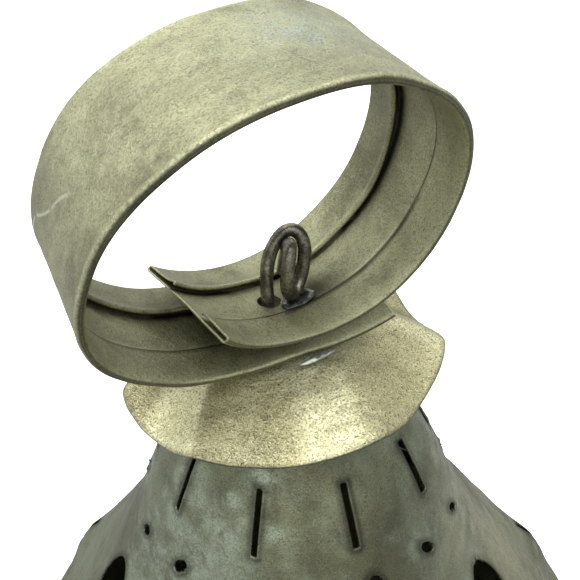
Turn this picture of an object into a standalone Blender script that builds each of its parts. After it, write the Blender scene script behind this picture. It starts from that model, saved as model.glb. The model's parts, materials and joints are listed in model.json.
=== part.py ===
"""Pierced brass lantern: a cylinder body with a hinged door, a flared cone roof, a fluted cap
and a hemmed ring handle.

Metres, +Z up. The origin is the centre of the base's underside, and the door faces -Y.
"""

import math

import bmesh
import bpy
from mathutils import Euler, Matrix, Vector

MM = 0.001

# Driving dimensions
SHEET = 0.8 * MM
GAP = 0.3 * MM
BODY_R = 98 * MM
BODY_TOP = 206 * MM
PAN_LIP_TOP = 14 * MM
DOOR_LOW = 32 * MM
DOOR_HIGH = 172 * MM
DOOR_HALF_ANGLE = 29
LEAF_LAP = 6 * MM
CROWN_Z = 360 * MM
EAVE_DROP = 160 * MM
CAP_R = 38.8 * MM
CAP_DROP = 6.6 * MM
RING_WIDTH = 32.2 * MM
WIRE_R = 1.6 * MM
SLOTS = 10
WINDOWS = 5

# Length of a cutter through a wall
CUT_DEPTH = 8 * MM
SHELL_STEPS = 60
SMALL_STEPS = 24
SLOT_SIDES = 8
EDGE_SHADE = math.radians(35)

# Colour, roughness and metallic value of each finish
FINISHES = {
    "body_brass": ((0.20, 0.21, 0.16, 1), 0.55, 0.9),
    "cap_brass": ((0.36, 0.32, 0.17, 1), 0.5, 0.9),
    "band_brass": ((0.30, 0.29, 0.18, 1), 0.5, 0.9),
    "dark_wire": ((0.09, 0.08, 0.06, 1), 0.45, 0.9),
    "solder": ((0.35, 0.37, 0.38, 1), 0.35, 1.0),
}


def clear_scene():
    for old in list(bpy.data.objects):
        bpy.data.objects.remove(old)


def new_collection(name):
    made = bpy.data.collections.new(name)
    bpy.context.scene.collection.children.link(made)
    return made


def make_finish(name):
    colour, roughness, metallic = FINISHES[name]
    made = bpy.data.materials.new(name)
    made.use_nodes = True
    shader = made.node_tree.nodes["Principled BSDF"]
    shader.inputs["Base Color"].default_value = colour
    shader.inputs["Roughness"].default_value = roughness
    shader.inputs["Metallic"].default_value = metallic
    made.diffuse_color = colour
    return made


clear_scene()
LANTERN = new_collection("lantern")
CUTTERS = new_collection("lantern_cutters")
FINISH = {name: make_finish(name) for name in FINISHES}


# Making objects


def add_part(name, mesh, finish, place=None, parent=None):
    part = bpy.data.objects.new(name, mesh)
    mesh.materials.append(FINISH[finish])
    LANTERN.objects.link(part)
    if place is not None:
        part.matrix_world = place
    if parent is not None:
        part.parent = parent
    return part


def add_cutter(name, mesh):
    cutter = bpy.data.objects.new(name, mesh)
    CUTTERS.objects.link(cutter)
    cutter.hide_render = True
    cutter.display_type = "WIRE"
    return cutter


def mesh_from(bm, name):
    bmesh.ops.recalc_face_normals(bm, faces=bm.faces)
    mesh = bpy.data.meshes.new(name)
    bm.to_mesh(mesh)
    bm.free()
    mesh.shade_smooth()
    mesh.set_sharp_from_angle(angle=EDGE_SHADE)
    return mesh


def turned(name, profile, finish, steps=SHELL_STEPS, place=None):
    """A profile of (radius, height) turned about Z, running down its outer side.

    It either starts and ends on the axis or is closed into a loop.
    """
    mesh = bpy.data.meshes.new(name)
    count = len(profile)
    edges = [(i, i + 1) for i in range(count - 1)]
    if profile[0][0] > 0:
        edges.append((count - 1, 0))
    mesh.from_pydata([(r, 0, z) for r, z in profile], edges, [])
    part = add_part(name, mesh, finish, place)
    screw = part.modifiers.new("turn", "SCREW")
    screw.angle = math.tau
    screw.steps = steps
    screw.render_steps = steps
    screw.use_merge_vertices = True
    screw.merge_threshold = 0.00001
    screw.use_smooth_shade = True
    return part


def difference(part, cutter):
    cut = part.modifiers.new("cut", "BOOLEAN")
    cut.operation = "DIFFERENCE"
    cut.solver = "EXACT"
    cut.object = cutter


def at_angle(degrees, radius, height):
    """The point at an angle from the door's side (-Y), positive towards +X."""
    angle = math.radians(degrees)
    return Vector((radius * math.sin(angle), -radius * math.cos(angle), height))


def facing(degrees, radius, height, lean=0.0):
    """A frame on a turned wall: X along the wall, Y up it, Z out of it. lean tips Z upward, in radians."""
    turn = Matrix.Rotation(math.radians(degrees), 4, "Z")
    upright = Matrix.Rotation(math.pi / 2 - lean, 4, "X")
    return Matrix.Translation(at_angle(degrees, radius, height)) @ turn @ upright


def unit_rod(bm, sides, depth, matrix):
    """The vertices of a new rod along Z, 1 across."""
    made = bmesh.ops.create_cone(
        bm,
        cap_ends=True,
        segments=sides,
        radius1=0.5,
        radius2=0.5,
        depth=depth,
        matrix=matrix,
    )
    return made["verts"]


def add_prism(bm, frame, width, height, depth, sides, point=0.0):
    """An upright rod of oval section along the frame's Z. point draws its top out to a tip."""
    for vertex in unit_rod(bm, sides, depth, Matrix.Identity(4)):
        rise = max(0.0, vertex.co.y * 2)
        vertex.co.x *= width * (1 - point * rise)
        vertex.co.y *= height
        vertex.co = frame @ vertex.co


def add_slot(bm, frame, width, length, depth):
    """A straight slot with round ends, along the frame's Y."""
    straight = (length - width) / 2
    for vertex in unit_rod(bm, SLOT_SIDES, depth, Matrix.Rotation(math.pi / SLOT_SIDES, 4, "Z")):
        y = vertex.co.y * width
        vertex.co.x *= width
        vertex.co.y = y + math.copysign(straight, y)
        vertex.co = frame @ vertex.co


# Cone roof


# Drop below the crown and the outer radius there, in millimetres
CONE_LINE = [
    (9.5, 19.9),
    (30, 31.6),
    (40, 37.1),
    (50, 41.5),
    (60, 45.4),
    (70, 50.0),
    (85, 58.8),
    (105, 72.6),
    (EAVE_DROP / MM, 110),
]


def cone_radius(drop):
    for (d0, r0), (d1, r1) in zip(CONE_LINE, CONE_LINE[1:]):
        if drop <= d1 * MM:
            share = (drop / MM - d0) / (d1 - d0)
            return (r0 + share * (r1 - r0)) * MM
    return CONE_LINE[-1][1] * MM


def cone_lean(drop):
    step = 6 * MM
    return math.atan2(cone_radius(drop + step) - cone_radius(drop - step), 2 * step)


def cone_frame(degrees, drop):
    return facing(degrees, cone_radius(drop), CROWN_Z - drop, cone_lean(drop))


SLOT_DROP = 34 * MM
SLOT_W = 1.6 * MM
SLOT_LENGTH = 16.2 * MM
HOLES = WINDOWS * 3
HOLE_D = 4.0 * MM
HOLE_DROP = 52.5 * MM
TOP_HOLE_DROP = 57 * MM
WINDOW_DROP = 87 * MM
WINDOW_W = 19 * MM
WINDOW_H = 30 * MM
WINDOW_POINT = 0.25
# The windows and louvres stand a little off the slots' pattern
WINDOW_TURN = -5.5
# How far the maker's angles are drawn towards the front of an even pattern, in degrees
HAND_SQUEEZE = 3.2
LOUVRE_DROP = 134 * MM
LOUVRE_CUT_W = 2.4 * MM
LOUVRE_CUT_LENGTH = 30 * MM
LOUVRE_RISE = 3.6 * MM
LOUVRE_W = 8 * MM
LOUVRE_H = 18 * MM


def by_hand(degrees):
    return degrees - HAND_SQUEEZE * math.sin(math.radians(degrees))


def louvre_bulge(degrees, drop):
    """How far the sheet is pushed out round the louvre slots, which stand between the windows."""
    pitch = 360 / WINDOWS
    off = (degrees - WINDOW_TURN) % pitch - pitch / 2
    along = math.radians(off) * cone_radius(drop) / LOUVRE_W
    up = (drop - LOUVRE_DROP) / LOUVRE_H
    return LOUVRE_RISE * math.exp(-along * along - up * up)


def make_cone():
    drops = [9.5, 30, 45, 60, 75, 90, 104, 113, 122, 131, 140, 150, 160]
    bm = bmesh.new()
    rings = []
    for layer in (0, -SHEET):
        for drop in drops:
            row = []
            for i in range(SHELL_STEPS):
                degrees = 360 * i / SHELL_STEPS
                out = layer + louvre_bulge(degrees, drop * MM)
                lean = cone_lean(drop * MM)
                radius = cone_radius(drop * MM) + out * math.cos(lean)
                height = CROWN_Z - drop * MM + out * math.sin(lean)
                row.append(bm.verts.new(at_angle(degrees, radius, height)))
            rings.append(row)
    count = len(drops)
    outer = rings[:count]
    inner = rings[count:]
    loop = outer + inner[::-1]
    for a, b in zip(loop, loop[1:] + loop[:1]):
        for i in range(SHELL_STEPS):
            j = (i + 1) % SHELL_STEPS
            bm.faces.new((a[i], a[j], b[j], b[i]))
    cone = add_part("roof_cone", mesh_from(bm, "roof_cone"), "body_brass")
    cuts = bmesh.new()
    for i in range(SLOTS):
        place = cone_frame(360 / SLOTS * (i + 0.5), SLOT_DROP)
        add_slot(cuts, place, SLOT_W, SLOT_LENGTH, CUT_DEPTH)
    for i in range(HOLES):
        over_window = i % 3 == 0
        drop = TOP_HOLE_DROP if over_window else HOLE_DROP
        add_prism(cuts, cone_frame(by_hand(360 / HOLES * i), drop), HOLE_D, HOLE_D, CUT_DEPTH, 8)
    for i in range(WINDOWS):
        place = cone_frame(by_hand(WINDOW_TURN + 360 / WINDOWS * i), WINDOW_DROP)
        add_prism(cuts, place, WINDOW_W, WINDOW_H, 2 * CUT_DEPTH, 14, point=WINDOW_POINT)
        place = cone_frame(WINDOW_TURN + 360 / WINDOWS * (i + 0.5), LOUVRE_DROP)
        add_slot(cuts, place, LOUVRE_CUT_W, LOUVRE_CUT_LENGTH, 2 * CUT_DEPTH)
    difference(cone, add_cutter("cone_piercings", mesh_from(cuts, "cone_piercings")))


def make_roof_edge():
    z = CROWN_Z - EAVE_DROP
    plate_in = BODY_R + GAP
    plate_out = cone_radius(EAVE_DROP) - 3.4 * MM
    low = z + 1.0 * MM
    turned(
        "eave_plate",
        [(plate_out, low + SHEET), (plate_out, low), (plate_in, low), (plate_in, low + SHEET)],
        "body_brass",
    )
    bpy.ops.mesh.primitive_torus_add(
        major_radius=cone_radius(EAVE_DROP) - SHEET / 2,
        minor_radius=1.3 * MM,
        major_segments=48,
        minor_segments=6,
        location=(0, 0, z - 1.3 * MM - GAP),
    )
    adopt("eave_wire", "body_brass")


def adopt(name, finish):
    """Takes the primitive just added into the lantern."""
    made = bpy.context.object
    made.name = name
    made.data.name = name
    for owner in list(made.users_collection):
        owner.objects.unlink(made)
    LANTERN.objects.link(made)
    made.data.materials.append(FINISH[finish])
    made.data.shade_smooth()
    return made


# Body, base and candle holder


BODY_MIDDLE = (DOOR_LOW + DOOR_HIGH) / 2
FLOOR = 1.0 * MM
BODY_WINDOW_W = 18 * MM
BODY_WINDOW_H = 44 * MM
BODY_SLOT_W = 2 * MM
BODY_SLOT_LENGTH = 22 * MM
BODY_SLOT_RISE = 60 * MM
BODY_HOLE_D = 3.6 * MM
BODY_HOLE_RISE = 68 * MM
SEAM_W = 7 * MM


def make_base():
    inner = BODY_R + GAP
    outer = inner + SHEET
    bead = 1.1 * MM
    profile = [
        (inner, PAN_LIP_TOP),
        (outer, PAN_LIP_TOP),
        (outer + bead * 1.2, PAN_LIP_TOP - 0.6 * bead),
        (outer + bead * 1.2, PAN_LIP_TOP - 1.4 * bead),
        (outer, PAN_LIP_TOP - 2 * bead),
        (outer, 1.5 * MM),
        (outer - 1.0 * MM, 0),
    ]
    well = [(0, FLOOR), (inner, FLOOR)]
    turned("base_pan", well + profile + [(0, 0)], "body_brass")


def make_candle_holder():
    floor = FLOOR + GAP
    pan_r = 38 * MM
    lip = 4.5 * MM
    turned(
        "drip_pan",
        [
            (0, floor + SHEET),
            (pan_r - 0.5 * MM, floor + SHEET),
            (pan_r + 2.2 * MM, floor + lip),
            (pan_r + 3 * MM, floor + lip),
            (pan_r, floor),
            (0, floor),
        ],
        "body_brass",
        36,
    )
    cup = 14 * MM
    low = floor + SHEET + GAP
    high = low + 22 * MM
    turned(
        "candle_cup",
        [
            (0, low + SHEET),
            (cup - SHEET, low + SHEET),
            (cup - SHEET, high - 2 * MM),
            (cup + 0.6 * MM, high),
            (cup + 1.6 * MM, high),
            (cup, high - 2 * MM),
            (cup, low),
            (0, low),
        ],
        "body_brass",
        SMALL_STEPS,
    )


def make_body():
    low = FLOOR + GAP
    inner = BODY_R - SHEET
    body = turned(
        "body_shell",
        [(BODY_R, BODY_TOP), (BODY_R, low), (inner, low), (inner, BODY_TOP)],
        "body_brass",
    )
    cuts = bmesh.new()
    doorway = Matrix.Translation((0, -BODY_R, BODY_MIDDLE))
    width = 2 * BODY_R * math.sin(math.radians(DOOR_HALF_ANGLE))
    size = Matrix.Diagonal((width, BODY_R, DOOR_HIGH - DOOR_LOW, 1))
    bmesh.ops.create_cube(cuts, size=1, matrix=doorway @ size)
    pitch = 360 / SLOTS
    beside_seam = (SLOTS // 2 - 1, SLOTS // 2)
    for i in range(1, SLOTS - 1):
        if i in beside_seam:
            continue
        degrees = pitch * (i + 0.5)
        place = facing(degrees, BODY_R, BODY_MIDDLE)
        add_prism(cuts, place, BODY_WINDOW_W, BODY_WINDOW_H, CUT_DEPTH, 12, point=WINDOW_POINT)
        for side in (-1, 1):
            place = facing(degrees, BODY_R, BODY_MIDDLE + side * BODY_SLOT_RISE)
            add_slot(cuts, place, BODY_SLOT_W, BODY_SLOT_LENGTH, CUT_DEPTH)
    for i in range(2, SLOTS - 1):
        if i == SLOTS // 2:
            continue
        for side in (-1, 0, 1):
            place = facing(pitch * i, BODY_R, BODY_MIDDLE + side * BODY_HOLE_RISE)
            add_prism(cuts, place, BODY_HOLE_D, BODY_HOLE_D, CUT_DEPTH, 8)
    difference(body, add_cutter("body_piercings", mesh_from(cuts, "body_piercings")))
    make_seam()


def make_seam():
    """The lap down the back where the body's sheet meets."""
    seam = bmesh.new()
    low = PAN_LIP_TOP + 4 * MM
    high = BODY_TOP - 12 * MM
    place = Matrix.Translation((0, BODY_R + GAP + SHEET / 2, (low + high) / 2))
    size = Matrix.Diagonal((SEAM_W, SHEET, high - low, 1))
    bmesh.ops.create_cube(seam, size=1, matrix=place @ size)
    add_part("body_seam", mesh_from(seam, "body_seam"), "body_brass")


# Door


PIN_ANGLE = 34.8
PIN_R = BODY_R + 4.2 * MM
LEAF_R = BODY_R + 0.5 * MM
LEAF_START = -33.5
LEAF_END = 32.6
HINGE_HEIGHTS = {"upper": DOOR_HIGH - 24 * MM, "lower": DOOR_LOW + 24 * MM}
BARREL = 24 * MM
KNOB_ANGLE = -28.5
LEAF_STEPS = 17
DOOR_WINDOW_W = 26 * MM
DOOR_WINDOW_H = 56 * MM
DOOR_SLOT_LENGTH = 20 * MM
DOOR_SLOT_RISE = 46 * MM
DOOR_HOLE_RISE = 44 * MM
DOOR_HOLE_ANGLE = 19
DOOR_SLOT_ANGLE = 9


def make_door():
    hinge = bpy.data.objects.new("door_hinge", None)
    LANTERN.objects.link(hinge)
    hinge.location = at_angle(PIN_ANGLE, PIN_R, 0)
    back = Matrix.Translation(-hinge.location)
    low = DOOR_LOW - LEAF_LAP
    high = DOOR_HIGH + LEAF_LAP
    mesh = bpy.data.meshes.new("door_leaf")
    mesh.from_pydata([(0, -LEAF_R, high), (0, -LEAF_R, low)], [(0, 1)], [])
    leaf = add_part("door_leaf", mesh, "body_brass")
    leaf.parent = hinge
    leaf.matrix_local = back @ Matrix.Rotation(math.radians(LEAF_START), 4, "Z")
    screw = leaf.modifiers.new("bend", "SCREW")
    screw.angle = math.radians(LEAF_END - LEAF_START)
    screw.steps = LEAF_STEPS
    screw.render_steps = LEAF_STEPS
    screw.use_smooth_shade = True
    thicken = leaf.modifiers.new("sheet", "SOLIDIFY")
    thicken.thickness = SHEET
    thicken.offset = 1
    pierce_leaf(leaf)
    make_knob(hinge, back)
    for level, height in HINGE_HEIGHTS.items():
        make_hinge(level, height, hinge, back)


def pierce_leaf(leaf):
    cuts = bmesh.new()
    place = facing(0, LEAF_R, BODY_MIDDLE)
    add_prism(cuts, place, DOOR_WINDOW_W, DOOR_WINDOW_H, CUT_DEPTH, 22, point=WINDOW_POINT)
    for level in (-1, 0, 1):
        for side in (-1, 1):
            place = facing(side * DOOR_HOLE_ANGLE, LEAF_R, BODY_MIDDLE + level * DOOR_HOLE_RISE)
            add_prism(cuts, place, BODY_HOLE_D, BODY_HOLE_D, CUT_DEPTH, 8)
    for level in (-1, 1):
        for column in (-1, 0, 1):
            place = facing(column * DOOR_SLOT_ANGLE, LEAF_R, BODY_MIDDLE + level * DOOR_SLOT_RISE)
            add_slot(cuts, place, BODY_SLOT_W, DOOR_SLOT_LENGTH, CUT_DEPTH)
    difference(leaf, add_cutter("door_piercings", mesh_from(cuts, "door_piercings")))


def make_knob(hinge, back):
    foot = LEAF_R + SHEET + GAP
    profile = [
        (0, 9 * MM),
        (2.6 * MM, 8.2 * MM),
        (3.8 * MM, 6 * MM),
        (3.0 * MM, 3.8 * MM),
        (1.4 * MM, 3 * MM),
        (1.4 * MM, 1 * MM),
        (3.2 * MM, 0.6 * MM),
        (3.2 * MM, 0),
        (0, 0),
    ]
    knob = turned("door_knob", profile, "cap_brass", SMALL_STEPS)
    knob.parent = hinge
    knob.matrix_local = back @ facing(KNOB_ANGLE, foot, BODY_MIDDLE)


def tube(bm, centre, low, high, outer, inner, sides=12):
    """A short tube with an open bore about a vertical line."""
    rings = []
    for radius, height in ((outer, high), (outer, low), (inner, low), (inner, high)):
        row = []
        for i in range(sides):
            angle = math.tau * i / sides
            x = centre.x + radius * math.cos(angle)
            y = centre.y + radius * math.sin(angle)
            row.append(bm.verts.new((x, y, height)))
        rings.append(row)
    for a, b in zip(rings, rings[1:] + rings[:1]):
        for i in range(sides):
            j = (i + 1) % sides
            bm.faces.new((a[j], a[i], b[i], b[j]))


def plate(bm, degrees, radius, width, low, high):
    """A flat plate lying on a wall of the given radius."""
    frame = facing(degrees, radius + SHEET / 2, (low + high) / 2)
    size = Matrix.Diagonal((width, high - low, SHEET, 1))
    bmesh.ops.create_cube(bm, size=1, matrix=frame @ size)


def union(part, other):
    joined = part.modifiers.new("join", "BOOLEAN")
    joined.operation = "UNION"
    joined.solver = "EXACT"
    joined.object = other


def hinge_half(name, knuckles, centre, degrees, radius, width, low, high):
    """A plate with its knuckles, each on a short foot, joined into one solid."""
    flat = bmesh.new()
    plate(flat, degrees, radius, width, low, high)
    half = add_part(name, mesh_from(flat, name), "cap_brass")
    frame = facing(degrees, radius, 0)
    pin = frame.inverted() @ centre
    feet = bmesh.new()
    barrels = bmesh.new()
    for bottom, top in knuckles:
        x = pin.x - math.copysign(2 * MM, pin.x)
        middle = Vector((x, (bottom + top) / 2, pin.z / 2 + SHEET / 4))
        size = Matrix.Diagonal((1.2 * MM, top - bottom, pin.z - SHEET / 2, 1))
        bmesh.ops.create_cube(feet, size=1, matrix=frame @ Matrix.Translation(middle) @ size)
        tube(barrels, centre, bottom, top, KNUCKLE_R, BORE_R)
    union(half, add_cutter(name + "_feet", mesh_from(feet, name + "_feet")))
    union(half, add_cutter(name + "_knuckles", mesh_from(barrels, name + "_knuckles")))
    return half


KNUCKLE_R = 2.3 * MM
BORE_R = 1.3 * MM
PIN_WIRE_R = 1.0 * MM


def make_hinge(level, height, hinge, back):
    centre = hinge.location
    third = BARREL / 3
    low = height - BARREL / 2
    high = height + BARREL / 2
    ends = [(low, low + third - GAP / 2), (high - third + GAP / 2, high)]
    middle = [(low + third + GAP / 2, high - third - GAP / 2)]
    body_angle = PIN_ANGLE + 4.4
    hinge_half(f"hinge_body_{level}", ends, centre, body_angle, BODY_R + GAP, 12.5 * MM, low, high)
    door_angle = PIN_ANGLE - 5.45
    wall = LEAF_R + SHEET + GAP
    leaf_half = hinge_half(f"hinge_door_{level}", middle, centre, door_angle, wall, 16.5 * MM, *middle[0])
    leaf_half.parent = hinge
    leaf_half.matrix_local = back
    head = 0.9 * MM
    turned(
        f"hinge_pin_{level}",
        [
            (0, high + GAP + head),
            (2.1 * MM, high + GAP + head),
            (2.1 * MM, high + GAP),
            (PIN_WIRE_R, high + GAP),
            (PIN_WIRE_R, low - 2 * MM),
            (0, low - 2 * MM),
        ],
        "dark_wire",
        SMALL_STEPS // 2,
        place=Matrix.Translation((centre.x, centre.y, 0)),
    )


BUTTON_ANGLE = -39.4
BUTTON_HEIGHT = BODY_MIDDLE


def make_button():
    foot = BODY_R + GAP
    post = facing(BUTTON_ANGLE, foot, BUTTON_HEIGHT)
    turned(
        "button_rivet",
        [
            (0, 5.6 * MM),
            (1.8 * MM, 5.4 * MM),
            (2.6 * MM, 4.6 * MM),
            (1.2 * MM, 4.6 * MM),
            (1.2 * MM, 2.8 * MM),
            (2.6 * MM, 2.8 * MM),
            (2.6 * MM, 0),
            (0, 0),
        ],
        "cap_brass",
        16,
        place=post,
    )
    bm = bmesh.new()
    add_prism(bm, Matrix.Identity(4), 8 * MM, 26 * MM, 1.2 * MM, 20)
    place = post @ Matrix.Translation((0, 0, 3.7 * MM))
    button = add_part("turn_button", mesh_from(bm, "turn_button"), "cap_brass", place)
    hole = bmesh.new()
    add_prism(hole, button.matrix_world, 3.0 * MM, 3.0 * MM, 4 * MM, 16)
    difference(button, add_cutter("button_hole", mesh_from(hole, "button_hole")))


# Cap


CAP_CENTRE = Vector((-2.6 * MM, 1.6 * MM, CROWN_Z - 3.3 * MM))
CAP_FLAT_R = 10 * MM
FLUTE_RISE = 1.1 * MM
FLUTE_REACH = 1.5 * MM
# Angles of the flutes' ridges, crimped by hand and so uneven
RIDGES = (-124, -64, -22, 29, 81, 132, 184, 236)
COLLAR_R = 18.6 * MM


def make_cap():
    """A shallow cone of thin sheet, its skirt waved up and down by soft flutes."""
    radii = [0.0, CAP_FLAT_R, 20 * MM, 30 * MM, CAP_R]
    bm = bmesh.new()
    loops = []
    for layer in (0, -SHEET):
        rows = []
        for radius in radii[1:]:
            row = []
            for i in range(SHELL_STEPS):
                degrees = 360 * i / SHELL_STEPS
                row.append(bm.verts.new(cap_point(degrees, radius, layer)))
            rows.append(row)
        loops.append(rows)
    top = bm.verts.new((0, 0, 0))
    under = bm.verts.new((0, 0, -SHEET))
    outer, inner = loops
    for rows in (outer, inner):
        for a, b in zip(rows, rows[1:]):
            for i in range(SHELL_STEPS):
                j = (i + 1) % SHELL_STEPS
                bm.faces.new((a[i], b[i], b[j], a[j]))
    for i in range(SHELL_STEPS):
        j = (i + 1) % SHELL_STEPS
        bm.faces.new((outer[-1][i], inner[-1][i], inner[-1][j], outer[-1][j]))
        bm.faces.new((top, outer[0][i], outer[0][j]))
        bm.faces.new((under, inner[0][j], inner[0][i]))
    add_part("fluted_cap", mesh_from(bm, "fluted_cap"), "cap_brass", Matrix.Translation(CAP_CENTRE))
    high = CROWN_Z - 8.4 * MM
    low = CROWN_Z - 15 * MM
    inner = COLLAR_R - SHEET
    turned("cap_collar", [(COLLAR_R, high), (COLLAR_R, low), (inner, low), (inner, high)], "body_brass", 36)


def flute_wave(degrees):
    """1 on a flute's ridge, -1 in the valley between two."""
    angle = (degrees - RIDGES[0]) % 360 + RIDGES[0]
    for low, high in zip(RIDGES, RIDGES[1:]):
        if angle <= high:
            return math.cos(math.tau * (angle - low) / (high - low))
    return 1.0


def cap_point(degrees, radius, layer):
    share = max(0.0, (radius - CAP_FLAT_R) / (CAP_R - CAP_FLAT_R))
    wave = flute_wave(degrees)
    fall = (CAP_DROP - FLUTE_RISE * wave) * share
    return at_angle(degrees, radius + FLUTE_REACH * wave * share, layer - fall)


# Ring handle: a hemmed strip rolled into a slightly flattened ring, its ends lapped on the cap


RING_CENTRE = Vector((-5.2 * MM, -8.1 * MM, CROWN_Z + 32.1 * MM))
RING_TURN = Euler((math.radians(13.7), math.radians(-5.5), math.radians(25.3)), "YXZ")

# Angle along the strip from the foot of the ring, then the near and far edges' distances from its centre
STRIP = [
    (36, 41.6, 42.0),
    (18, 36.0, 36.6),
    (0, 32.0, 34.0),
    (-25, 32.4, 35.0),
    (-50, 35.6, 38.3),
    (-80, 39.3, 40.4),
    (-110, 36.2, 36.0),
    (-145, 31.2, 31.6),
    (-180, 29.9, 30.4),
    (-215, 33.6, 34.0),
    (-250, 38.2, 37.8),
    (-285, 36.8, 34.8),
    (-315, 34.2, 32.0),
    (-340, 29.8, 31.4),
    (-365, 25.8, 31.0),
    (-404, 22.4, 30.6),
]
STRIP_STATIONS = 60


def smooth(table, column, at):
    """A smooth curve through a table's column, at a fraction of its length."""
    last = len(table) - 1
    spot = at * last
    i = min(int(spot), last - 1)
    t = spot - i
    p = [table[min(max(i + k, 0), last)][column] for k in (-1, 0, 1, 2)]
    a = 2 * p[1]
    b = p[2] - p[0]
    c = 2 * p[0] - 5 * p[1] + 4 * p[2] - p[3]
    d = -p[0] + 3 * p[1] - 3 * p[2] + p[3]
    return 0.5 * (a + b * t + c * t * t + d * t * t * t)


def strip_edge(at, column):
    """A strip edge's place in the ring's own plane: X across, Z up."""
    angle = math.radians(smooth(STRIP, 0, at))
    radius = smooth(STRIP, column, at) * MM
    return Vector((radius * math.sin(angle), 0, -radius * math.cos(angle)))


def strip_frame(at, share):
    """Middle of the sheet and its outward normal, at a share of the way from near edge to far."""
    step = 0.002
    places = []
    for spot in (max(at - step, 0), at, min(at + step, 1)):
        places.append(strip_edge(spot, 1).lerp(strip_edge(spot, 2), share))
    along = (places[2] - places[0]).normalized()
    normal = Vector((-along.z, 0, along.x))
    if normal.dot(places[1]) < 0:
        normal.negate()
    return places[1], normal


HEM = 8.5 * MM
STRIP_SECTION = [
    (0.47, 0.4),
    (0.49, 0.3),
    (0.5, -0.2),
    (0.495, -0.8),
    (0.475, -1.1),
    (0.5 - HEM / RING_WIDTH, -0.9),
    (0.5 - HEM / RING_WIDTH - 0.01, -0.4),
]


def make_ring(holder):
    section = STRIP_SECTION + [(-y, out) for y, out in STRIP_SECTION[::-1]]
    bm = bmesh.new()
    rings = []
    for k in range(STRIP_STATIONS + 1):
        at = k / STRIP_STATIONS
        row = []
        for y, out in section:
            place, normal = strip_frame(at, y + 0.5)
            point = place + normal * out * MM
            row.append(bm.verts.new((point.x, y * RING_WIDTH, point.z)))
        rings.append(row)
    count = len(section)
    for a, b in zip(rings, rings[1:]):
        for i in range(count):
            j = (i + 1) % count
            bm.faces.new((a[i], a[j], b[j], b[i]))
    bm.faces.new(rings[0])
    bm.faces.new(rings[-1])
    ring = add_part("ring_handle", mesh_from(bm, "ring_handle"), "band_brass", parent=holder)
    hole = bmesh.new()
    place = holder.matrix_world @ Matrix.Translation(eye_point(0.2, 0, 0))
    add_prism(hole, place, 5.4 * MM, 4.4 * MM, 5 * MM, 16)
    difference(ring, add_cutter("wire_hole", mesh_from(hole, "wire_hole")))


# Wire eye: one wire bent into two arches, the second passing through the first


EYE_FOOT = Vector((0.6 * MM, -0.9 * MM, -28.9 * MM))
EYE_ACROSS = Vector((0.879, -0.476, 0)).normalized()
EYE_BACK = Vector((0.476, 0.879, 0)).normalized()

# Across, back and up from the foot, in millimetres
WIRE_ROUTE = [
    (0.0, 0.0, -1.2),
    (-0.1, 0.3, 1.5),
    (-0.6, 1.9, 5.5),
    (-0.4, 4.0, 9.5),
    (0.9, 5.9, 13.0),
    (2.8, 7.3, 15.2),
    (5.0, 7.9, 15.8),
    (7.2, 7.3, 14.6),
    (8.3, 6.2, 11.8),
    (8.2, 5.0, 8.0),
    (7.5, 4.2, 4.2),
    (6.6, 2.6, 2.3),
    (5.6, 0.6, 2.2),
    (4.7, -0.9, 4.4),
    (4.5, -1.2, 8.0),
    (4.8, -0.4, 12.0),
    (5.1, 1.4, 14.9),
    (5.0, 3.5, 14.9),
    (4.5, 5.2, 12.2),
    (4.0, 6.4, 8.5),
    (3.6, 7.0, 5.0),
    (3.4, 7.2, 3.0),
]
WIRE_POINTS = 64


def eye_point(across, back, up):
    return EYE_FOOT + EYE_ACROSS * across * MM + EYE_BACK * back * MM + Vector((0, 0, up * MM))


def wire_mesh(name, radius, parent):
    """The wire's own mesh, at any thickness, made from its curve."""
    curve = bpy.data.curves.new(name, "CURVE")
    curve.dimensions = "3D"
    spline = curve.splines.new("POLY")
    spline.points.add(WIRE_POINTS)
    for k, point in enumerate(spline.points):
        at = k / WIRE_POINTS
        spot = [smooth(WIRE_ROUTE, column, at) for column in range(3)]
        point.co = (*eye_point(*spot), 1)
    curve.bevel_depth = radius
    curve.bevel_resolution = 2
    curve.use_fill_caps = True
    guide = bpy.data.objects.new(name + "_guide", curve)
    LANTERN.objects.link(guide)
    bpy.context.view_layer.update()
    graph = bpy.context.evaluated_depsgraph_get()
    mesh = bpy.data.meshes.new_from_object(guide.evaluated_get(graph))
    bpy.data.objects.remove(guide)
    bm = bmesh.new()
    bm.from_mesh(mesh)
    bmesh.ops.remove_doubles(bm, verts=bm.verts, dist=0.00001)
    bm.transform(parent)
    return mesh_from(bm, name)


def dome(bm, frame, width, depth, height, bend=0.0):
    """A low mound of solder on the frame's XY plane. bend curls its foot up along X, in 1/metres."""
    made = bmesh.ops.create_uvsphere(bm, u_segments=14, v_segments=8, radius=1, matrix=Matrix.Identity(4))
    for vertex in made["verts"]:
        x = vertex.co.x * width
        rise = max(vertex.co.z, -0.12) * height + bend * x * x
        vertex.co = frame @ Vector((x, vertex.co.y * depth, rise))


SOLDER_PLACE = Vector((7.2 * MM, -4.4 * MM, -27.6 * MM))
SOLDER_BEND = 25 * MM


def make_wire_eye(holder):
    bent = wire_mesh("wire_eye", WIRE_R, Matrix.Identity(4))
    add_part("wire_eye", bent, "dark_wire", parent=holder)
    puddle = bmesh.new()
    lean = Matrix.Rotation(math.radians(-6), 4, "X") @ Matrix.Rotation(math.radians(-7), 4, "Y")
    frame = Matrix.Translation(SOLDER_PLACE) @ lean
    dome(puddle, frame, 5.4 * MM, 3.8 * MM, 1.3 * MM, 0.5 / SOLDER_BEND)
    solder = add_part("solder_eye", mesh_from(puddle, "solder_eye"), "solder", parent=holder)
    clear = add_cutter("wire_clearance", wire_mesh("wire_clearance", WIRE_R + GAP, holder.matrix_world))
    difference(solder, clear)


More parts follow.
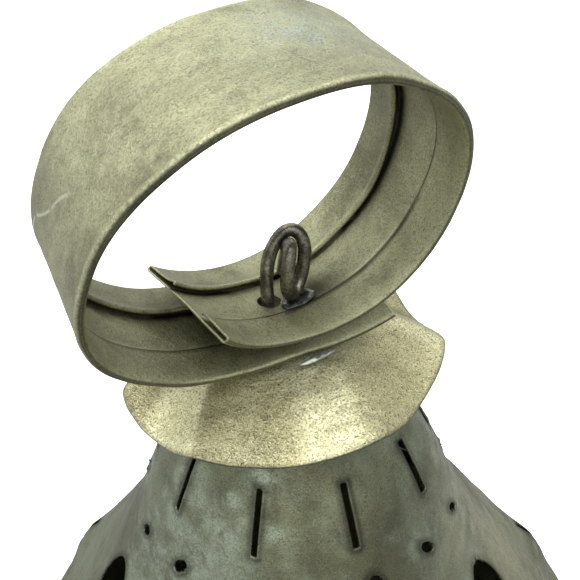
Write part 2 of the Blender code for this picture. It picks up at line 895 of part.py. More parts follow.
def make_front_solder(holder):
    bm = bmesh.new()
    frame = Matrix.Translation((4.4 * MM, -17.6 * MM, -32.7 * MM))
    dome(bm, frame, 4.0 * MM, 1.1 * MM, 1.0 * MM)
    add_part("solder_front", mesh_from(bm, "solder_front"), "solder", parent=holder)


def make_handle():
    holder = bpy.data.objects.new("handle_place", None)
    LANTERN.objects.link(holder)
    holder.rotation_mode = "YXZ"
    holder.rotation_euler = RING_TURN
    holder.location = RING_CENTRE
    bpy.context.view_layer.update()
    make_ring(holder)
    make_wire_eye(holder)
    make_front_solder(holder)


make_base()
make_candle_holder()
make_body()
make_door()
make_button()
make_roof_edge()
make_cone()
make_cap()
make_handle()
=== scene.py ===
"""Looks of a pierced brass lantern with a hemmed ring handle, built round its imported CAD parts.

Sheets are fine grids worked out with numpy: each is a turned or rolled surface with its openings cut
out along a distance field and their lips raised from the same field. Millimetres are used inside
the shape functions, and a piece's mesh is in metres in the frame of the CAD.
"""

import json
import math

import bmesh
import bpy
import numpy as np
from mathutils import Euler, Matrix, Quaternion, Vector


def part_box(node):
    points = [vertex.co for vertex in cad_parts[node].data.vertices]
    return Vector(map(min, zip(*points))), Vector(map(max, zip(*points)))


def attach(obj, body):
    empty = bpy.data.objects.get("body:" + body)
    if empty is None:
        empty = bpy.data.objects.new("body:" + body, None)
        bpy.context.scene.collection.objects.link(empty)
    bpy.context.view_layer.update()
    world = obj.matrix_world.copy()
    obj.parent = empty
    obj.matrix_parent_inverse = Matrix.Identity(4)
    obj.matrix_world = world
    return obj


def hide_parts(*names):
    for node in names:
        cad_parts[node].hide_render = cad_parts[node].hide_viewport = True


MM = 0.001

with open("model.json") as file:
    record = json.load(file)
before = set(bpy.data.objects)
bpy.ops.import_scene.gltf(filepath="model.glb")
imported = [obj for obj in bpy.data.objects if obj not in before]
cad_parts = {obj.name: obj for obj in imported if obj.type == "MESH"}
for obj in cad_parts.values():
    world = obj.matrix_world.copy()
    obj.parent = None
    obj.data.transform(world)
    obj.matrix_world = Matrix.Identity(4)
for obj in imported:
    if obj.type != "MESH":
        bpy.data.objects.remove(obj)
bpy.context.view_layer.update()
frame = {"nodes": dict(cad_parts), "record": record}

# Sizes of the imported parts, in millimetres
CONE_TOP_DROP = 9.5
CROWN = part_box("roof_cone")[1].z / MM + CONE_TOP_DROP
EAVE_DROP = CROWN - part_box("roof_cone")[0].z / MM
EAVE_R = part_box("roof_cone")[1].x / MM
BODY_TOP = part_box("body_shell")[1].z / MM
BODY_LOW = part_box("body_shell")[0].z / MM
BODY_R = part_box("body_shell")[1].x / MM
LEAF_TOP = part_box("door_leaf")[1].z / MM
LEAF_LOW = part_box("door_leaf")[0].z / MM
LEAF_R = BODY_R + 0.5
DOOR_LOW = LEAF_LOW + 6
DOOR_HIGH = LEAF_TOP - 6
BODY_MIDDLE = (DOOR_LOW + DOOR_HIGH) / 2
SHEET = 0.8
SLOTS = 10
WINDOWS = 5
HOLES = WINDOWS * 3


# Shared shape tools

WAVES = 14


def ripple(points, size, seed):
    """Smooth random waves of about that size through space, mostly between -1 and 1."""
    rng = np.random.default_rng(seed)
    total = np.zeros(points.shape[:-1])
    for _ in range(WAVES):
        way = rng.normal(size=3)
        way *= math.tau / (size * np.linalg.norm(way)) * rng.uniform(0.6, 1.6)
        total += np.sin(points @ way + rng.uniform(0, math.tau))
    return total / math.sqrt(WAVES)


def bump(value, width):
    """1 at zero, falling off smoothly over that width."""
    return np.exp(-((value / width) ** 2))


def smooth(table, at):
    """A smooth curve through a table's rows, at fractions of its length."""
    table = np.asarray(table, float)
    last = len(table) - 1
    spot = np.clip(at, 0, 1) * last
    i = np.minimum(spot.astype(int), last - 1)
    t = (spot - i)[:, None]
    p = [table[np.clip(i + k, 0, last)] for k in (-1, 0, 1, 2)]
    a = 2 * p[1]
    b = p[2] - p[0]
    c = 2 * p[0] - 5 * p[1] + 4 * p[2] - p[3]
    d = -p[0] + 3 * p[1] - 3 * p[2] + p[3]
    return 0.5 * (a + b * t + c * t**2 + d * t**3)


def at_angle(degrees, radius, height):
    """Points at an angle from the door's side (-Y), positive towards +X."""
    angle = np.radians(degrees)
    return np.stack([radius * np.sin(angle), -radius * np.cos(angle), height + 0 * angle], -1)


def signed_turn(degrees, middle):
    """Angles from a middle one, between -180 and 180."""
    return (degrees - middle + 180) % 360 - 180


def grid_faces(rows, columns, closed_columns=False):
    """Four-sided faces between the points of a grid, whose last column may meet its first."""
    i = np.arange(rows - 1)
    j = np.arange(columns if closed_columns else columns - 1)
    i, j = np.meshgrid(i, j, indexing="ij")
    beside = (j + 1) % columns
    corners = [i * columns + j, i * columns + beside, (i + 1) * columns + beside, (i + 1) * columns + j]
    return np.stack(corners, -1).reshape(-1, 4)


def add_piece(name, points, faces, material, paint=None):
    """A smooth mesh from points in millimetres. paint holds a value per point for each named mark."""
    used = np.unique(faces)
    renumber = np.zeros(len(points), int)
    renumber[used] = np.arange(len(used))
    mesh = bpy.data.meshes.new(name)
    mesh.from_pydata((points[used] * MM).tolist(), [], renumber[faces].tolist())
    for mark, values in (paint or {}).items():
        layer = mesh.attributes.new(mark, "FLOAT", "POINT")
        layer.data.foreach_set("value", np.asarray(values, np.float32).ravel()[used])
    mesh.validate()
    mesh.shade_smooth()
    mesh.materials.append(material)
    made = bpy.data.objects.new(name, mesh)
    bpy.context.scene.collection.objects.link(made)
    return made


def stand_for(piece, node, body):
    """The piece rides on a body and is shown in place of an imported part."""
    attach(piece, body)
    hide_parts(node)


def weld(piece, reach):
    """Joins points that lie within that reach of one another, in millimetres."""
    bm = bmesh.new()
    bm.from_mesh(piece.data)
    bmesh.ops.remove_doubles(bm, verts=bm.verts, dist=reach * MM)
    bm.to_mesh(piece.data)
    bm.free()


def thicken(piece, thickness):
    """Gives a sheet its thickness, inwards from its face."""
    wall = piece.modifiers.new("sheet", "SOLIDIFY")
    wall.thickness = thickness * MM
    wall.offset = -1.0
    wall.use_even_offset = False
    wall.use_rim = True


def close_ends(piece, sides):
    """Fills open rims of at most about that many sides."""
    bm = bmesh.new()
    bm.from_mesh(piece.data)
    rim = [e for e in bm.edges if e.is_boundary]
    bmesh.ops.holes_fill(bm, edges=rim, sides=sides + 2)
    bmesh.ops.recalc_face_normals(bm, faces=bm.faces)
    bm.to_mesh(piece.data)
    bm.free()
    piece.data.shade_smooth()


def apply_modifiers(piece):
    graph = bpy.context.evaluated_depsgraph_get()
    final = bpy.data.meshes.new_from_object(piece.evaluated_get(graph))
    piece.modifiers.clear()
    piece.data = final


# Pierced walls

# How far an opening's raised lip reaches, in millimetres
LIP_WIDTH = 0.85
# Over how far the lip's extra height on one side comes in
LIP_TILT = 0.6
# Share of a slot's width that rounds its corners
SLOT_CORNER = 0.15
# Share of a grid cell within which a point is drawn onto an opening's edge
SNAP_SHARE = 0.55
# Least squared slope that the distance field is taken to have
LEAST_STEEP = 0.2
# How far into an opening a face may reach, at its middle and at a corner
MIDDLE_INSIDE = 1e-6
CORNER_INSIDE = 0.3
WELD_REACH = 0.03
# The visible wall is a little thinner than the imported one, so that its dents stay within it
WALL_SKIN = SHEET * 0.8


def slot_distance(x, y, width, length):
    """Distance to a slot with barely rounded corners, or with round ends where it is a short one."""
    corner = width / 2 if length < 2 * width else SLOT_CORNER * width
    past_x = np.abs(x) - width / 2 + corner
    past_y = np.abs(y) - length / 2 + corner
    outside = np.hypot(np.maximum(past_x, 0), np.maximum(past_y, 0))
    return outside + np.minimum(np.maximum(past_x, past_y), 0) - corner


def hole_distance(x, y, width, height):
    """Distance to an oval hole."""
    stretch = height / width
    return (np.hypot(x * stretch, y) - height / 2) / max(1, stretch)


def window_distance(x, y, width, height):
    """Distance to an upright oval drawn out to a tip at its top. y runs down the wall."""
    half = width / 2 * (1 - 0.25 * np.clip(-2 * y / height, 0, 1))
    level = np.hypot(x / half, 2 * y / height)
    slope = np.hypot(x / half**2, 4 * y / height**2) / np.maximum(level, 0.05)
    return (level - 1) / np.maximum(slope, 1e-3)


def doorway_distance(x, y, width, height):
    """Distance to a doorway with sharp corners."""
    return np.maximum(np.abs(x) - width / 2, np.abs(y) - height / 2)


def cut(shape, angle, drop, width, height, lip=0.4, lean_right=0.0, slope=0.0):
    """One opening. lip is how high its edge stands, lean_right how much higher on its right, and slope
    how far it shifts sideways a millimetre down the wall."""
    place = {"angle": angle, "drop": drop, "slope": slope}
    return {"shape": shape, "width": width, "height": height, "lip": lip, "lean_right": lean_right, **place}


def field_of(cuts, degrees, drops, radius, slant):
    """Distance to the nearest opening, and how far the edges round it stand out."""
    nearest = np.full(degrees.shape, 1e3)
    raised = np.zeros(degrees.shape)
    for one in cuts:
        y = (drops - one["drop"]) * slant
        x = np.radians(signed_turn(degrees, one["angle"])) * radius - one["slope"] * y
        away = one["shape"](x, y, one["width"], one["height"])
        nearest = np.minimum(nearest, away)
        side = 1 + one["lean_right"] * np.tanh(x / LIP_TILT)
        raised += one["lip"] * side * bump(np.maximum(away, 0), LIP_WIDTH)
    return nearest, raised


def draw_to_edges(away, columns, rows, radius, slant):
    """Moves the grid's points that lie beside an opening onto its edge, and gives their distances."""
    step_x = math.radians(columns[0, 1] - columns[0, 0]) * radius
    step_y = np.gradient(rows[:, 0])[:, None] * slant
    across = np.gradient(away, axis=1) / step_x
    down = np.gradient(away, axis=0) / step_y
    steep = np.maximum(across**2 + down**2, LEAST_STEEP)
    near = np.abs(away) < SNAP_SHARE * (np.abs(across) * step_x + np.abs(down) * step_y)
    pull = np.where(near, away, 0) / steep
    columns = columns - np.degrees(pull * across / radius)
    rows = rows - pull * down / slant
    return columns, rows, np.where(near, 0, away)


def wall_marks(away, raised, columns, rows, place, weather):
    """Lips are rubbed, the wall round them is darkened with painted shade and pale with bloom, and chosen
    places are weathered.
    """
    pale = np.clip((raised - 0.35) / 0.25, 0, 1)
    paint = {
        "wear_and_highlight": 0.55 * pale * bump(np.maximum(away, 0), 0.35),
        # painted shade: the wall is darkened round each opening, where shade falls into it, and less so on
        # the pale lips
        "dirt_and_shade": 0.62 * bump(np.maximum(away - 0.4, 0), 1.0) * (1 - 0.75 * pale),
        "bloom_and_sheen": 0.7 * bump(np.maximum(away - 0.6, 0), 5) * np.clip(0.5 + ripple(place, 22, 11), 0, 1),
    }
    ragged = 1 + 0.3 * ripple(place, 9, 12)
    for mark, angle, drop, wide, tall, strength in weather:
        edge = np.hypot(signed_turn(columns, angle) / wide, (rows - drop) / tall) * ragged
        paint[mark] = np.clip(paint[mark] + strength * bump(edge, 1), 0, 1)
    return paint


def pierced_wall(name, material, degrees, drops, shape, cuts, outward, closed=True, weather=()):
    """A sheet on a turned wall. shape gives radius and height at a drop; outward adds its dents."""
    columns, rows = np.meshgrid(degrees, drops)
    radius, _ = shape(rows)
    slope = np.gradient(radius[:, 0], drops)
    slant = np.hypot(1, slope)[:, None] * np.ones_like(columns)
    away, _ = field_of(cuts, columns, rows, radius, slant)
    columns, rows, snapped = draw_to_edges(away, columns, rows, radius, slant)
    radius, height = shape(rows)
    _, raised = field_of(cuts, columns, rows, radius, slant)
    place = at_angle(columns, radius, height)
    out = raised + outward(columns, rows, place)
    tilt = np.arctan(slope)[:, None]
    place = at_angle(columns, radius + out * np.cos(tilt), height + out * np.sin(tilt))
    faces = grid_faces(len(drops), len(degrees), closed_columns=closed)
    inside = snapped.ravel()[faces]
    faces = faces[(inside.mean(1) > -MIDDLE_INSIDE) & (inside.min(1) > -CORNER_INSIDE)]
    marks = wall_marks(away, raised, columns, rows, place, weather)
    made = add_piece(name, place.reshape(-1, 3), faces[:, ::-1], material, marks)
    weld(made, WELD_REACH)
    thicken(made, WALL_SKIN)
    return made


# Cone roof

SLOT_DROP = 34
SLOT_WIDTH = 1.45
SLOT_LENGTH = 15.8
# How much wider the slots at the sides are than one straight in front
SLOT_SPREAD = 0.9
# Round holes: one above each window, and two higher ones between
HOLE_DROP = 52.5
WINDOW_HOLE_DROP = 57
HOLE_WIDTH = 3.5
HOLE_HEIGHT = 4.1
# How much taller, and how much more aslant, a hole at the side is
HOLE_STRETCH = 1.1
HOLE_SLOPE = 0.68
# One round hole was punched higher than its neighbours
HIGH_HOLE = 1
HIGH_HOLE_RISE = 1.7
WINDOW_DROP = 87
WINDOW_SIZE = (19, 30)
WINDOW_TURN = -5.5
WINDOW_STEP = 360 / WINDOWS
# How far the maker's angles are drawn towards the front of an even pattern, in degrees
HAND_SQUEEZE = 3.2
LOUVRE_DROP = 134
LOUVRE_RISE = 3.6
LOUVRE_SLIT = (2.4, 30)

# Weathering of the roof, with one painted shadow under the cap: mark, angle, drop, half width in degrees,
# half height and strength
CONE_WEATHER = (
    ("bloom_and_sheen", -34, 44, 18, 11, 1.0),
    ("bloom_and_sheen", -60, 62, 16, 22, 0.8),
    ("bloom_and_sheen", -16, 25, 7, 6, 0.7),
    ("wear_and_highlight", 84, 90, 16, 34, 0.8),
    ("wear_and_highlight", 62, 60, 12, 12, 0.4),
    ("bloom_and_sheen", 100, 50, 40, 22, 0.5),
    ("bloom_and_sheen", 214, 44, 36, 20, 0.6),
    ("dirt_and_shade", 34, 40, 14, 18, 0.3),
    # painted shadow of the cap on the roof, just under its rim
    ("dirt_and_shade", 14, 22, 16, 6, 0.4),
    ("dirt_and_shade", 2, 64, 16, 9, 0.25),
    ("dirt_and_shade", 150, 90, 26, 20, 0.25),
    ("dirt_and_shade", 262, 78, 22, 18, 0.25),
)


def cone_shape(drop):
    """Radius and height of the roof's wall at a drop below the crown: concave under the cap, then flaring."""
    knots = (CONE_TOP_DROP, 30, 40, 50, 60, 70, 85, 105, EAVE_DROP)
    radii = (19.9, 31.6, 37.1, 41.5, 45.4, 50.0, 58.8, 72.6, EAVE_R)
    spread = (-3, -1.5, 0, 1.5, 3)
    soft = sum(np.interp(drop + shift, knots, radii) for shift in spread) / len(spread)
    edge = np.clip((EAVE_DROP - drop) / 4, 0, 1) * np.clip((drop - CONE_TOP_DROP) / 4, 0, 1)
    return soft * edge + np.interp(drop, knots, radii) * (1 - edge), CROWN - drop


def by_hand(degrees):
    """Where the maker put an opening that an even pattern would have at that angle."""
    return degrees - HAND_SQUEEZE * math.sin(math.radians(degrees))


def hole_cut(i):
    """One round hole. Those at the sides are a little taller and lie aslant."""
    angle = 360 / HOLES * i
    aside = math.sin(math.radians(angle))
    drop = HOLE_DROP if i % 3 else WINDOW_HOLE_DROP
    if i == HIGH_HOLE:
        drop -= HIGH_HOLE_RISE
    wide = HOLE_WIDTH - 0.3 * aside
    tall = HOLE_HEIGHT + HOLE_STRETCH * abs(aside)
    slope = HOLE_SLOPE * aside
    return cut(hole_distance, by_hand(angle), drop, wide, tall, lip=0.3, lean_right=0.4, slope=slope)


def cone_cuts():
    """Slots under the cap, round holes below them, then windows with a louvre's slit between each two."""
    cuts = []
    for i in range(SLOTS):
        angle = 360 / SLOTS * (i + 0.5)
        wide = SLOT_WIDTH + SLOT_SPREAD * math.sin(math.radians(angle)) ** 2
        cuts.append(cut(slot_distance, angle, SLOT_DROP, wide, SLOT_LENGTH, lip=0.26, lean_right=0.9))
    for i in range(HOLES):
        cuts.append(hole_cut(i))
    for i in range(WINDOWS):
        angle = by_hand(WINDOW_TURN + WINDOW_STEP * i)
        cuts.append(cut(window_distance, angle, WINDOW_DROP, *WINDOW_SIZE))
        angle = WINDOW_TURN + WINDOW_STEP * (i + 0.5)
        cuts.append(cut(slot_distance, angle, LOUVRE_DROP, *LOUVRE_SLIT, lip=0.3))
    return cuts


def cone_outward(degrees, drops, place):
    """The louvre bulges between the windows, with soft dents of hand work."""
    off = (degrees - WINDOW_TURN) % WINDOW_STEP - WINDOW_STEP / 2
    along = np.radians(off) * cone_shape(drops)[0]
    louvre = LOUVRE_RISE * np.exp(-((along / 8) ** 2) - ((drops - LOUVRE_DROP) / 18) ** 2)
    fade = np.clip((drops - CONE_TOP_DROP) / 6, 0, 1) * np.clip((EAVE_DROP - drops) / 8, 0, 1)
    return louvre + fade * (0.16 * ripple(place, 24, 1) + 0.05 * ripple(place, 7, 2)) - 0.2


def make_cone(material):
    """The grid is finest over the slots and round holes."""
    drops = np.concatenate(
        [
            np.arange(CONE_TOP_DROP, 24, 0.9),
            np.arange(24, 62, 0.42),
            np.arange(62, 110, 0.8),
            np.arange(110, EAVE_DROP, 1.2),
            [EAVE_DROP],
        ]
    )
    degrees = np.arange(0, 360, 0.5)
    made = pierced_wall(
        "roof_sheet", material, degrees, drops, cone_shape, cone_cuts(), cone_outward, weather=CONE_WEATHER
    )
    stand_for(made, "roof_cone", "lantern")


# Body and door sheets

# Half the doorway's angle, and how much wider the cut is than its chord
DOORWAY_HALF = 29
DOORWAY_EASE = 1.045
# No window is cut beside the seam at the back
BESIDE_SEAM = (SLOTS // 2 - 1, SLOTS // 2)
# Widths and heights of the openings, and how far the slits and holes are above and below the windows'
# middle, or in degrees to its sides
BODY_WINDOW = (18, 44)
BODY_SLIT = (2, 22)
BODY_SLIT_RISE = 60
BODY_HOLE_RISE = 68
ROUND_HOLE = (3.6, 3.6)
LEAF_WINDOW = (26, 56)
LEAF_HOLE_RISE = 44
LEAF_HOLE_TURN = 19
LEAF_SLIT = (2, 20)
LEAF_SLIT_RISE = 46
LEAF_SLIT_TURN = 9
# Angles of the door's two upright edges
LEAF_EDGES = (-33.5, 32.6)


def body_shape(drop):
    return BODY_R + 0 * drop, BODY_TOP - drop


def leaf_shape(drop):
    return LEAF_R + SHEET + 0 * drop, LEAF_TOP - drop


def body_outward(degrees, drops, place):
    return 0.14 * ripple(place, 40, 3) - 0.16


def leaf_outward(degrees, drops, place):
    return 0.05 * ripple(place, 30, 4) - 0.08


def body_cuts():
    """The doorway, tall windows with a slit above and below, and columns of round holes between."""
    middle = BODY_TOP - BODY_MIDDLE
    width = 2 * BODY_R * math.sin(math.radians(DOORWAY_HALF)) * DOORWAY_EASE
    step = 360 / SLOTS
    cuts = [cut(doorway_distance, 0, middle, width, DOOR_HIGH - DOOR_LOW, lip=0)]
    for i in range(1, SLOTS - 1):
        if i in BESIDE_SEAM:
            continue
        angle = step * (i + 0.5)
        cuts.append(cut(window_distance, angle, middle, *BODY_WINDOW, lip=0.45))
        for side in (-1, 1):
            drop = middle + side * BODY_SLIT_RISE
            cuts.append(cut(slot_distance, angle, drop, *BODY_SLIT, lip=0.3, lean_right=0.4))
    for i in range(2, SLOTS - 1):
        if i == SLOTS // 2:
            continue
        for side in (-1, 0, 1):
            drop = middle + side * BODY_HOLE_RISE
            cuts.append(cut(slot_distance, step * i, drop, *ROUND_HOLE))
    return cuts


def leaf_cuts():
    """A window in the door's middle, round holes down both sides, and slits above and below."""
    middle = LEAF_TOP - BODY_MIDDLE
    cuts = [cut(window_distance, 0, middle, *LEAF_WINDOW, lip=0.5)]
    for level in (-1, 0, 1):
        drop = middle + level * LEAF_HOLE_RISE
        for side in (-1, 1):
            cuts.append(cut(slot_distance, side * LEAF_HOLE_TURN, drop, *ROUND_HOLE, lip=0.2))
    for level in (-1, 1):
        drop = middle + level * LEAF_SLIT_RISE
        for column in (-1, 0, 1):
            angle = column * LEAF_SLIT_TURN
            cuts.append(cut(slot_distance, angle, drop, *LEAF_SLIT, lip=0.2, lean_right=0.4))
    return cuts


def make_body(material):
    drops = np.linspace(0, BODY_TOP - BODY_LOW, 206)
    degrees = np.arange(0, 360, 0.5)
    shell = pierced_wall("body_sheet", material, degrees, drops, body_shape, body_cuts(), body_outward)
    stand_for(shell, "body_shell", "lantern")
    drops = np.linspace(0, LEAF_TOP - LEAF_LOW, 180)
    degrees = np.linspace(*LEAF_EDGES, 150)
    leaf = pierced_wall("door_sheet", material, degrees, drops, leaf_shape, leaf_cuts(), leaf_outward, False)
    stand_for(leaf, "door_leaf", "door")


# Cap

CAP_CENTRE = Vector((-2.6, 1.6, CROWN - 3.3))
CAP_SHEET = 0.6
CAP_R = 38.8
CAP_FLAT_R = 10
CAP_DROP = 6.6
FLUTE_RISE = 2.1
FLUTE_SINK = 0.7
FLUTE_REACH = 1.3
# Angles of the flutes' ridges, crimped by hand and so uneven
RIDGES = (-124, -66, -27, 27, 81, 132, 184, 236)
# How far the creases lean from the cap's middle towards its back, in degrees a millimetre
CREASE_LEAN = 1.35
# How crisp the flutes are in height, in reach, and where their ridges are rubbed
CRISP_FALL = 0.66
CRISP_REACH = 0.8
CRISP_RUB = 0.72
# Flanks of the flutes that face the light, brightened with painted highlight: first and last angle, how soon
# each side of the flank fades, and how much
CAP_LIT_FLANKS = (
    (-54, -27.5, 7, 1.2, 1.0),
    (-24, -6, 6, 6, 0.25),
    (2, 26, 6, 5, 0.75),
    (70, 92, 6, 4, 0.4),
    (120, 150, 6, 4, 0.3),
)
# Whitish spots: angle, distance from the middle and half width
CAP_SPOTS = (
    (29.5, 26.5, 0.9),
    (29.5, 23.2, 0.7),
    (39, 20.2, 0.7),
    (30, 33.5, 0.6),
    (29, 20, 0.5),
    (9.5, 21, 1.4),
)
# Stretches of the rim pulled out or pressed in: angle, half width and how far
CAP_PULLED = ((-46, 16, 1.4), (-84, 18, -3.6), (10, 24, -1.2))


def flute_wave(degrees, crisp):
    """1 on a flute's ridge and -1 between two. crisp below 1 draws the ridge to a crease."""
    angle = (degrees - RIDGES[0]) % 360 + RIDGES[0]
    k = np.clip(np.searchsorted(RIDGES, angle, side="right") - 1, 0, len(RIDGES) - 2)
    ridges = np.array(RIDGES)
    between = (angle - ridges[k]) / (ridges[k + 1] - ridges[k])
    return 1 - 2 * np.abs(np.sin(math.pi * between)) ** (2 * crisp)


def cap_place(columns, rows, share, signed, leaned):
    """Points of the cap: flat in its middle, its skirt falling and reaching out flute by flute."""
    fall = (CAP_DROP + FLUTE_SINK - FLUTE_RISE * flute_wave(leaned, CRISP_FALL)) * share
    reach = FLUTE_REACH * flute_wave(leaned, CRISP_REACH) * share**2
    pull = sum(far * bump(signed - middle, wide) for middle, wide, far in CAP_PULLED)
    reach = reach + pull * share**3
    place = at_angle(columns, rows + reach, -fall)
    lift = 0.16 * ripple(place, 15, 5) + 0.05 * ripple(place, 4, 6)
    place[..., 2] += lift * np.clip(share * 3, 0, 1)
    return place + np.array(CAP_CENTRE)


def cap_flank_highlight(degrees):
    """Painted highlight on the cap's flanks that face the light, at an angle."""
    total = 0 * degrees
    for first, last, soft, crisp, strength in CAP_LIT_FLANKS:
        rise = np.clip((degrees - first) / soft, 0, 1)
        total += strength * rise * np.clip((last - degrees) / crisp, 0, 1)
    return total


def cap_spots(rows, signed):
    """Whitish spots of old solder and polish."""
    total = 0
    for turn, far, wide in CAP_SPOTS:
        total = total + bump(np.hypot(np.radians(signed - turn) * far, rows - far), wide)
    return total


def cap_marks(rows, share, signed, leaned):
    """Where the cap is rubbed bright on its ridges, lit with painted highlight on its flanks that face the
    light, pale with bloom, darkened with painted shade on its other flanks, and darker at its outer edge.
    """
    ridge = np.clip(flute_wave(leaned, CRISP_RUB), 0, 1) ** 6 * share
    rubbed_and_lit = cap_flank_highlight(leaned)
    unlit_flanks = 1 - np.clip(rubbed_and_lit * 1.6, 0, 1)
    edge = bump(1 - share, 0.018)
    # painted highlight on the lit flanks, with rubbing on the ridges and a little brightening everywhere
    wear_and_highlight = 0.13 + 0.25 * ridge + rubbed_and_lit * np.clip(share * 2.4 - 0.3, 0, 1)
    # painted shade on the flanks away from the light, and a darker outer edge
    dirt_and_shade = 0.65 * edge + 0.06 * unlit_flanks * np.clip(share * 3 - 0.6, 0, 1)
    bloom_and_sheen = bump(share - 0.1, 0.2) + cap_spots(rows, signed)
    return {"wear_and_highlight": np.clip(wear_and_highlight, 0, 1), "bloom_and_sheen": np.clip(bloom_and_sheen, 0, 1), "dirt_and_shade": np.clip(dirt_and_shade, 0, 1)}


def make_cap(material):
    """A shallow dish of thin sheet turned over, its skirt crimped into uneven flutes."""
    degrees = np.arange(0, 360, 0.6)
    radii = np.concatenate([np.linspace(0.3, CAP_FLAT_R, 14), np.linspace(CAP_FLAT_R + 0.5, CAP_R, 74)])
    columns, rows = np.meshgrid(degrees, radii)
    share = np.clip((rows - CAP_FLAT_R) / (CAP_R - CAP_FLAT_R), 0, 1)
    signed = signed_turn(columns, 0)
    leaned = signed - CREASE_LEAN * (CAP_R - rows) * np.sin(np.radians(signed))
    place = cap_place(columns, rows, share, signed, leaned)
    marks = cap_marks(rows, share, signed, leaned)
    faces = grid_faces(len(radii), len(degrees), closed_columns=True)
    made = add_piece("cap_sheet", place.reshape(-1, 3), faces[:, ::-1], material, marks)
    thicken(made, CAP_SHEET)
    stand_for(made, "fluted_cap", "lantern")


# Ring handle

RING_CENTRE = Vector((-5.2, -8.1, CROWN + 32.1))
RING_TURN = Euler((math.radians(13.7), math.radians(-5.5), math.radians(25.3)), "YXZ")
RING_MATRIX = Matrix.Translation(RING_CENTRE) @ RING_TURN.to_matrix().to_4x4()
RING_WIDTH = 32.2
STRIP_SHEET = 0.46
STRIP_STATIONS = 760
# Across the strip: its rims, the fold under the near rim, and the hems' free edges
RIM_ACROSS = 15.25
FOLD_ACROSS = -15.95
NEAR_FREE_ACROSS = -5.4
FAR_FREE_ACROSS = 6.4

# Angle along the strip from the foot of the ring, then the near and far edges' distances from its centre
STRIP = [
    (38.5, 42.4, 42.8),
    (18, 36.0, 36.6),
    (0, 32.0, 34.0),
    (-25, 32.4, 35.0),
    (-50, 35.6, 38.3),
    (-80, 39.3, 40.4),
    (-110, 36.2, 36.0),
    (-145, 31.2, 31.6),
    (-180, 29.9, 30.4),
    (-215, 33.6, 34.0),
    (-250, 38.2, 37.8),
    (-285, 36.8, 34.8),
    (-315, 34.2, 32.0),
    (-340, 29.8, 31.4),
    (-365, 25.8, 31.0),
    (-404, 22.4, 30.6),
]

# Scratches on the strip: start and end angle, across at each end, sag between, and strength
SCRATCHES = (
    (-81.5, -96.5, 16.0, 11.2, 0.8, 1.0),
    (-96.5, -106, 11.2, 3.5, -0.6, 1.0),
    (-106, -115.5, 3.5, -1.2, 0.5, 0.8),
    (-159, -163.5, 1.5, 6.0, 1.2, 0.3),
    (-163.5, -166, 6.0, 3.0, 1.0, 0.2),
    (-212, -209, 1.0, 5.0, 0.6, 0.3),
    (-226, -214, 7.0, 8.0, -0.8, 0.3),
    (-236, -228, -3.0, -5.0, 0.6, 0.25),
)
SCRATCH_WIDTH = 0.22


def ring_to_world(points):
    matrix = np.array(RING_MATRIX)
    return points @ matrix[:3, :3].T + matrix[:3, 3]


def arc(centre_y, centre_out, radius, start, end, count):
    """Points of a fold, as (across, out)."""
    angle = np.radians(np.linspace(start, end, count))
    return [(centre_y + radius * math.cos(a), centre_out + radius * math.sin(a)) for a in angle]


def strip_path():
    """The sheet's middle line from the near hem's free edge over the skin to the far hem's curled lip."""
    near = [(-6.2, -0.68), (-6.8, -0.86), (-7.8, -0.98), (-9.5, -0.95), (-12, -0.92), (-14.4, -0.94)]
    near_fold = arc(-15.15, -0.33, 0.6, 270, 90, 13)
    skin_y = np.linspace(-15.0, 15.0, 92)[1:-1]
    skin = [(y, 0.27 - 0.22 * math.cos(math.pi * y / 30.4) ** 0.5) for y in skin_y]
    far_fold = arc(15.15, -0.35, 0.62, 90, -90, 13)
    far = [(14.2, -0.98), (12, -1.05), (10, -1.14), (8.4, -1.3), (7.2, -1.56), (6.5, -1.82)]
    lip = arc(6.1, -1.5, 0.42, 280, 150, 6)
    return np.array(near + near_fold + skin + far_fold + far + lip)


def strip_points(at, path):
    """Places in the ring's frame of a path of (across, out) at each station along the strip."""
    table = smooth(STRIP, at)
    angle = np.radians(table[:, 0])[:, None]
    share = np.clip(path[..., 0] / RING_WIDTH + 0.5, 0, 1)
    radius = table[:, 1][:, None] * (1 - share) + table[:, 2][:, None] * share
    x = radius * np.sin(angle)
    z = -radius * np.cos(angle)
    along_x = np.gradient(x, axis=0)
    along_z = np.gradient(z, axis=0)
    length = np.hypot(along_x, along_z)
    normal_x = -along_z / length
    normal_z = along_x / length
    flip = np.where(normal_x * x + normal_z * z < 0, -1, 1)
    out = path[..., 1] * flip
    return np.stack([x + normal_x * out, path[..., 0] + 0 * x, z + normal_z * out], -1)


def loosen_hems(path, hem, at, turn):
    """The hems' free edges wander a little, and the near one dips at the strip's inner end."""
    y = path[..., 0]
    near_free = np.where(y < 0, hem * np.clip((y + 15) / 9, 0, 1), 0)
    far_free = np.where(y > 0, hem * np.clip((15 - y) / 9, 0, 1), 0)
    wander = np.sin(np.radians(turn * 3.1)) + 0.6 * np.sin(np.radians(turn * 7.3 + 40))
    path[..., 0] += 0.35 * wander * (near_free - far_free)
    path[..., 1] += 0.1 * wander * (near_free + far_free)
    path[..., 1] -= 0.3 * bump(at - 1, 0.03)[:, None] * near_free


def both_faces(path):
    """A closed loop at each station: out along the sheet's one face and back along its other."""
    along = np.gradient(path, axis=1)
    along /= np.maximum(np.linalg.norm(along, axis=-1, keepdims=True), 1e-9)
    side = np.stack([-along[..., 1], along[..., 0]], -1) * STRIP_SHEET / 2
    return np.concatenate([path + side, (path - side)[:, ::-1]], 1)


def strip_faces(count):
    """Faces along the strip for loops of that many points, and across its two ends."""
    i = np.arange(count // 2 - 1)
    tip = np.stack([i, i + 1, count - 2 - i, count - 1 - i], -1)
    sides = grid_faces(STRIP_STATIONS, count, closed_columns=True)
    return np.concatenate([sides, tip[:, ::-1], tip + (STRIP_STATIONS - 1) * count])


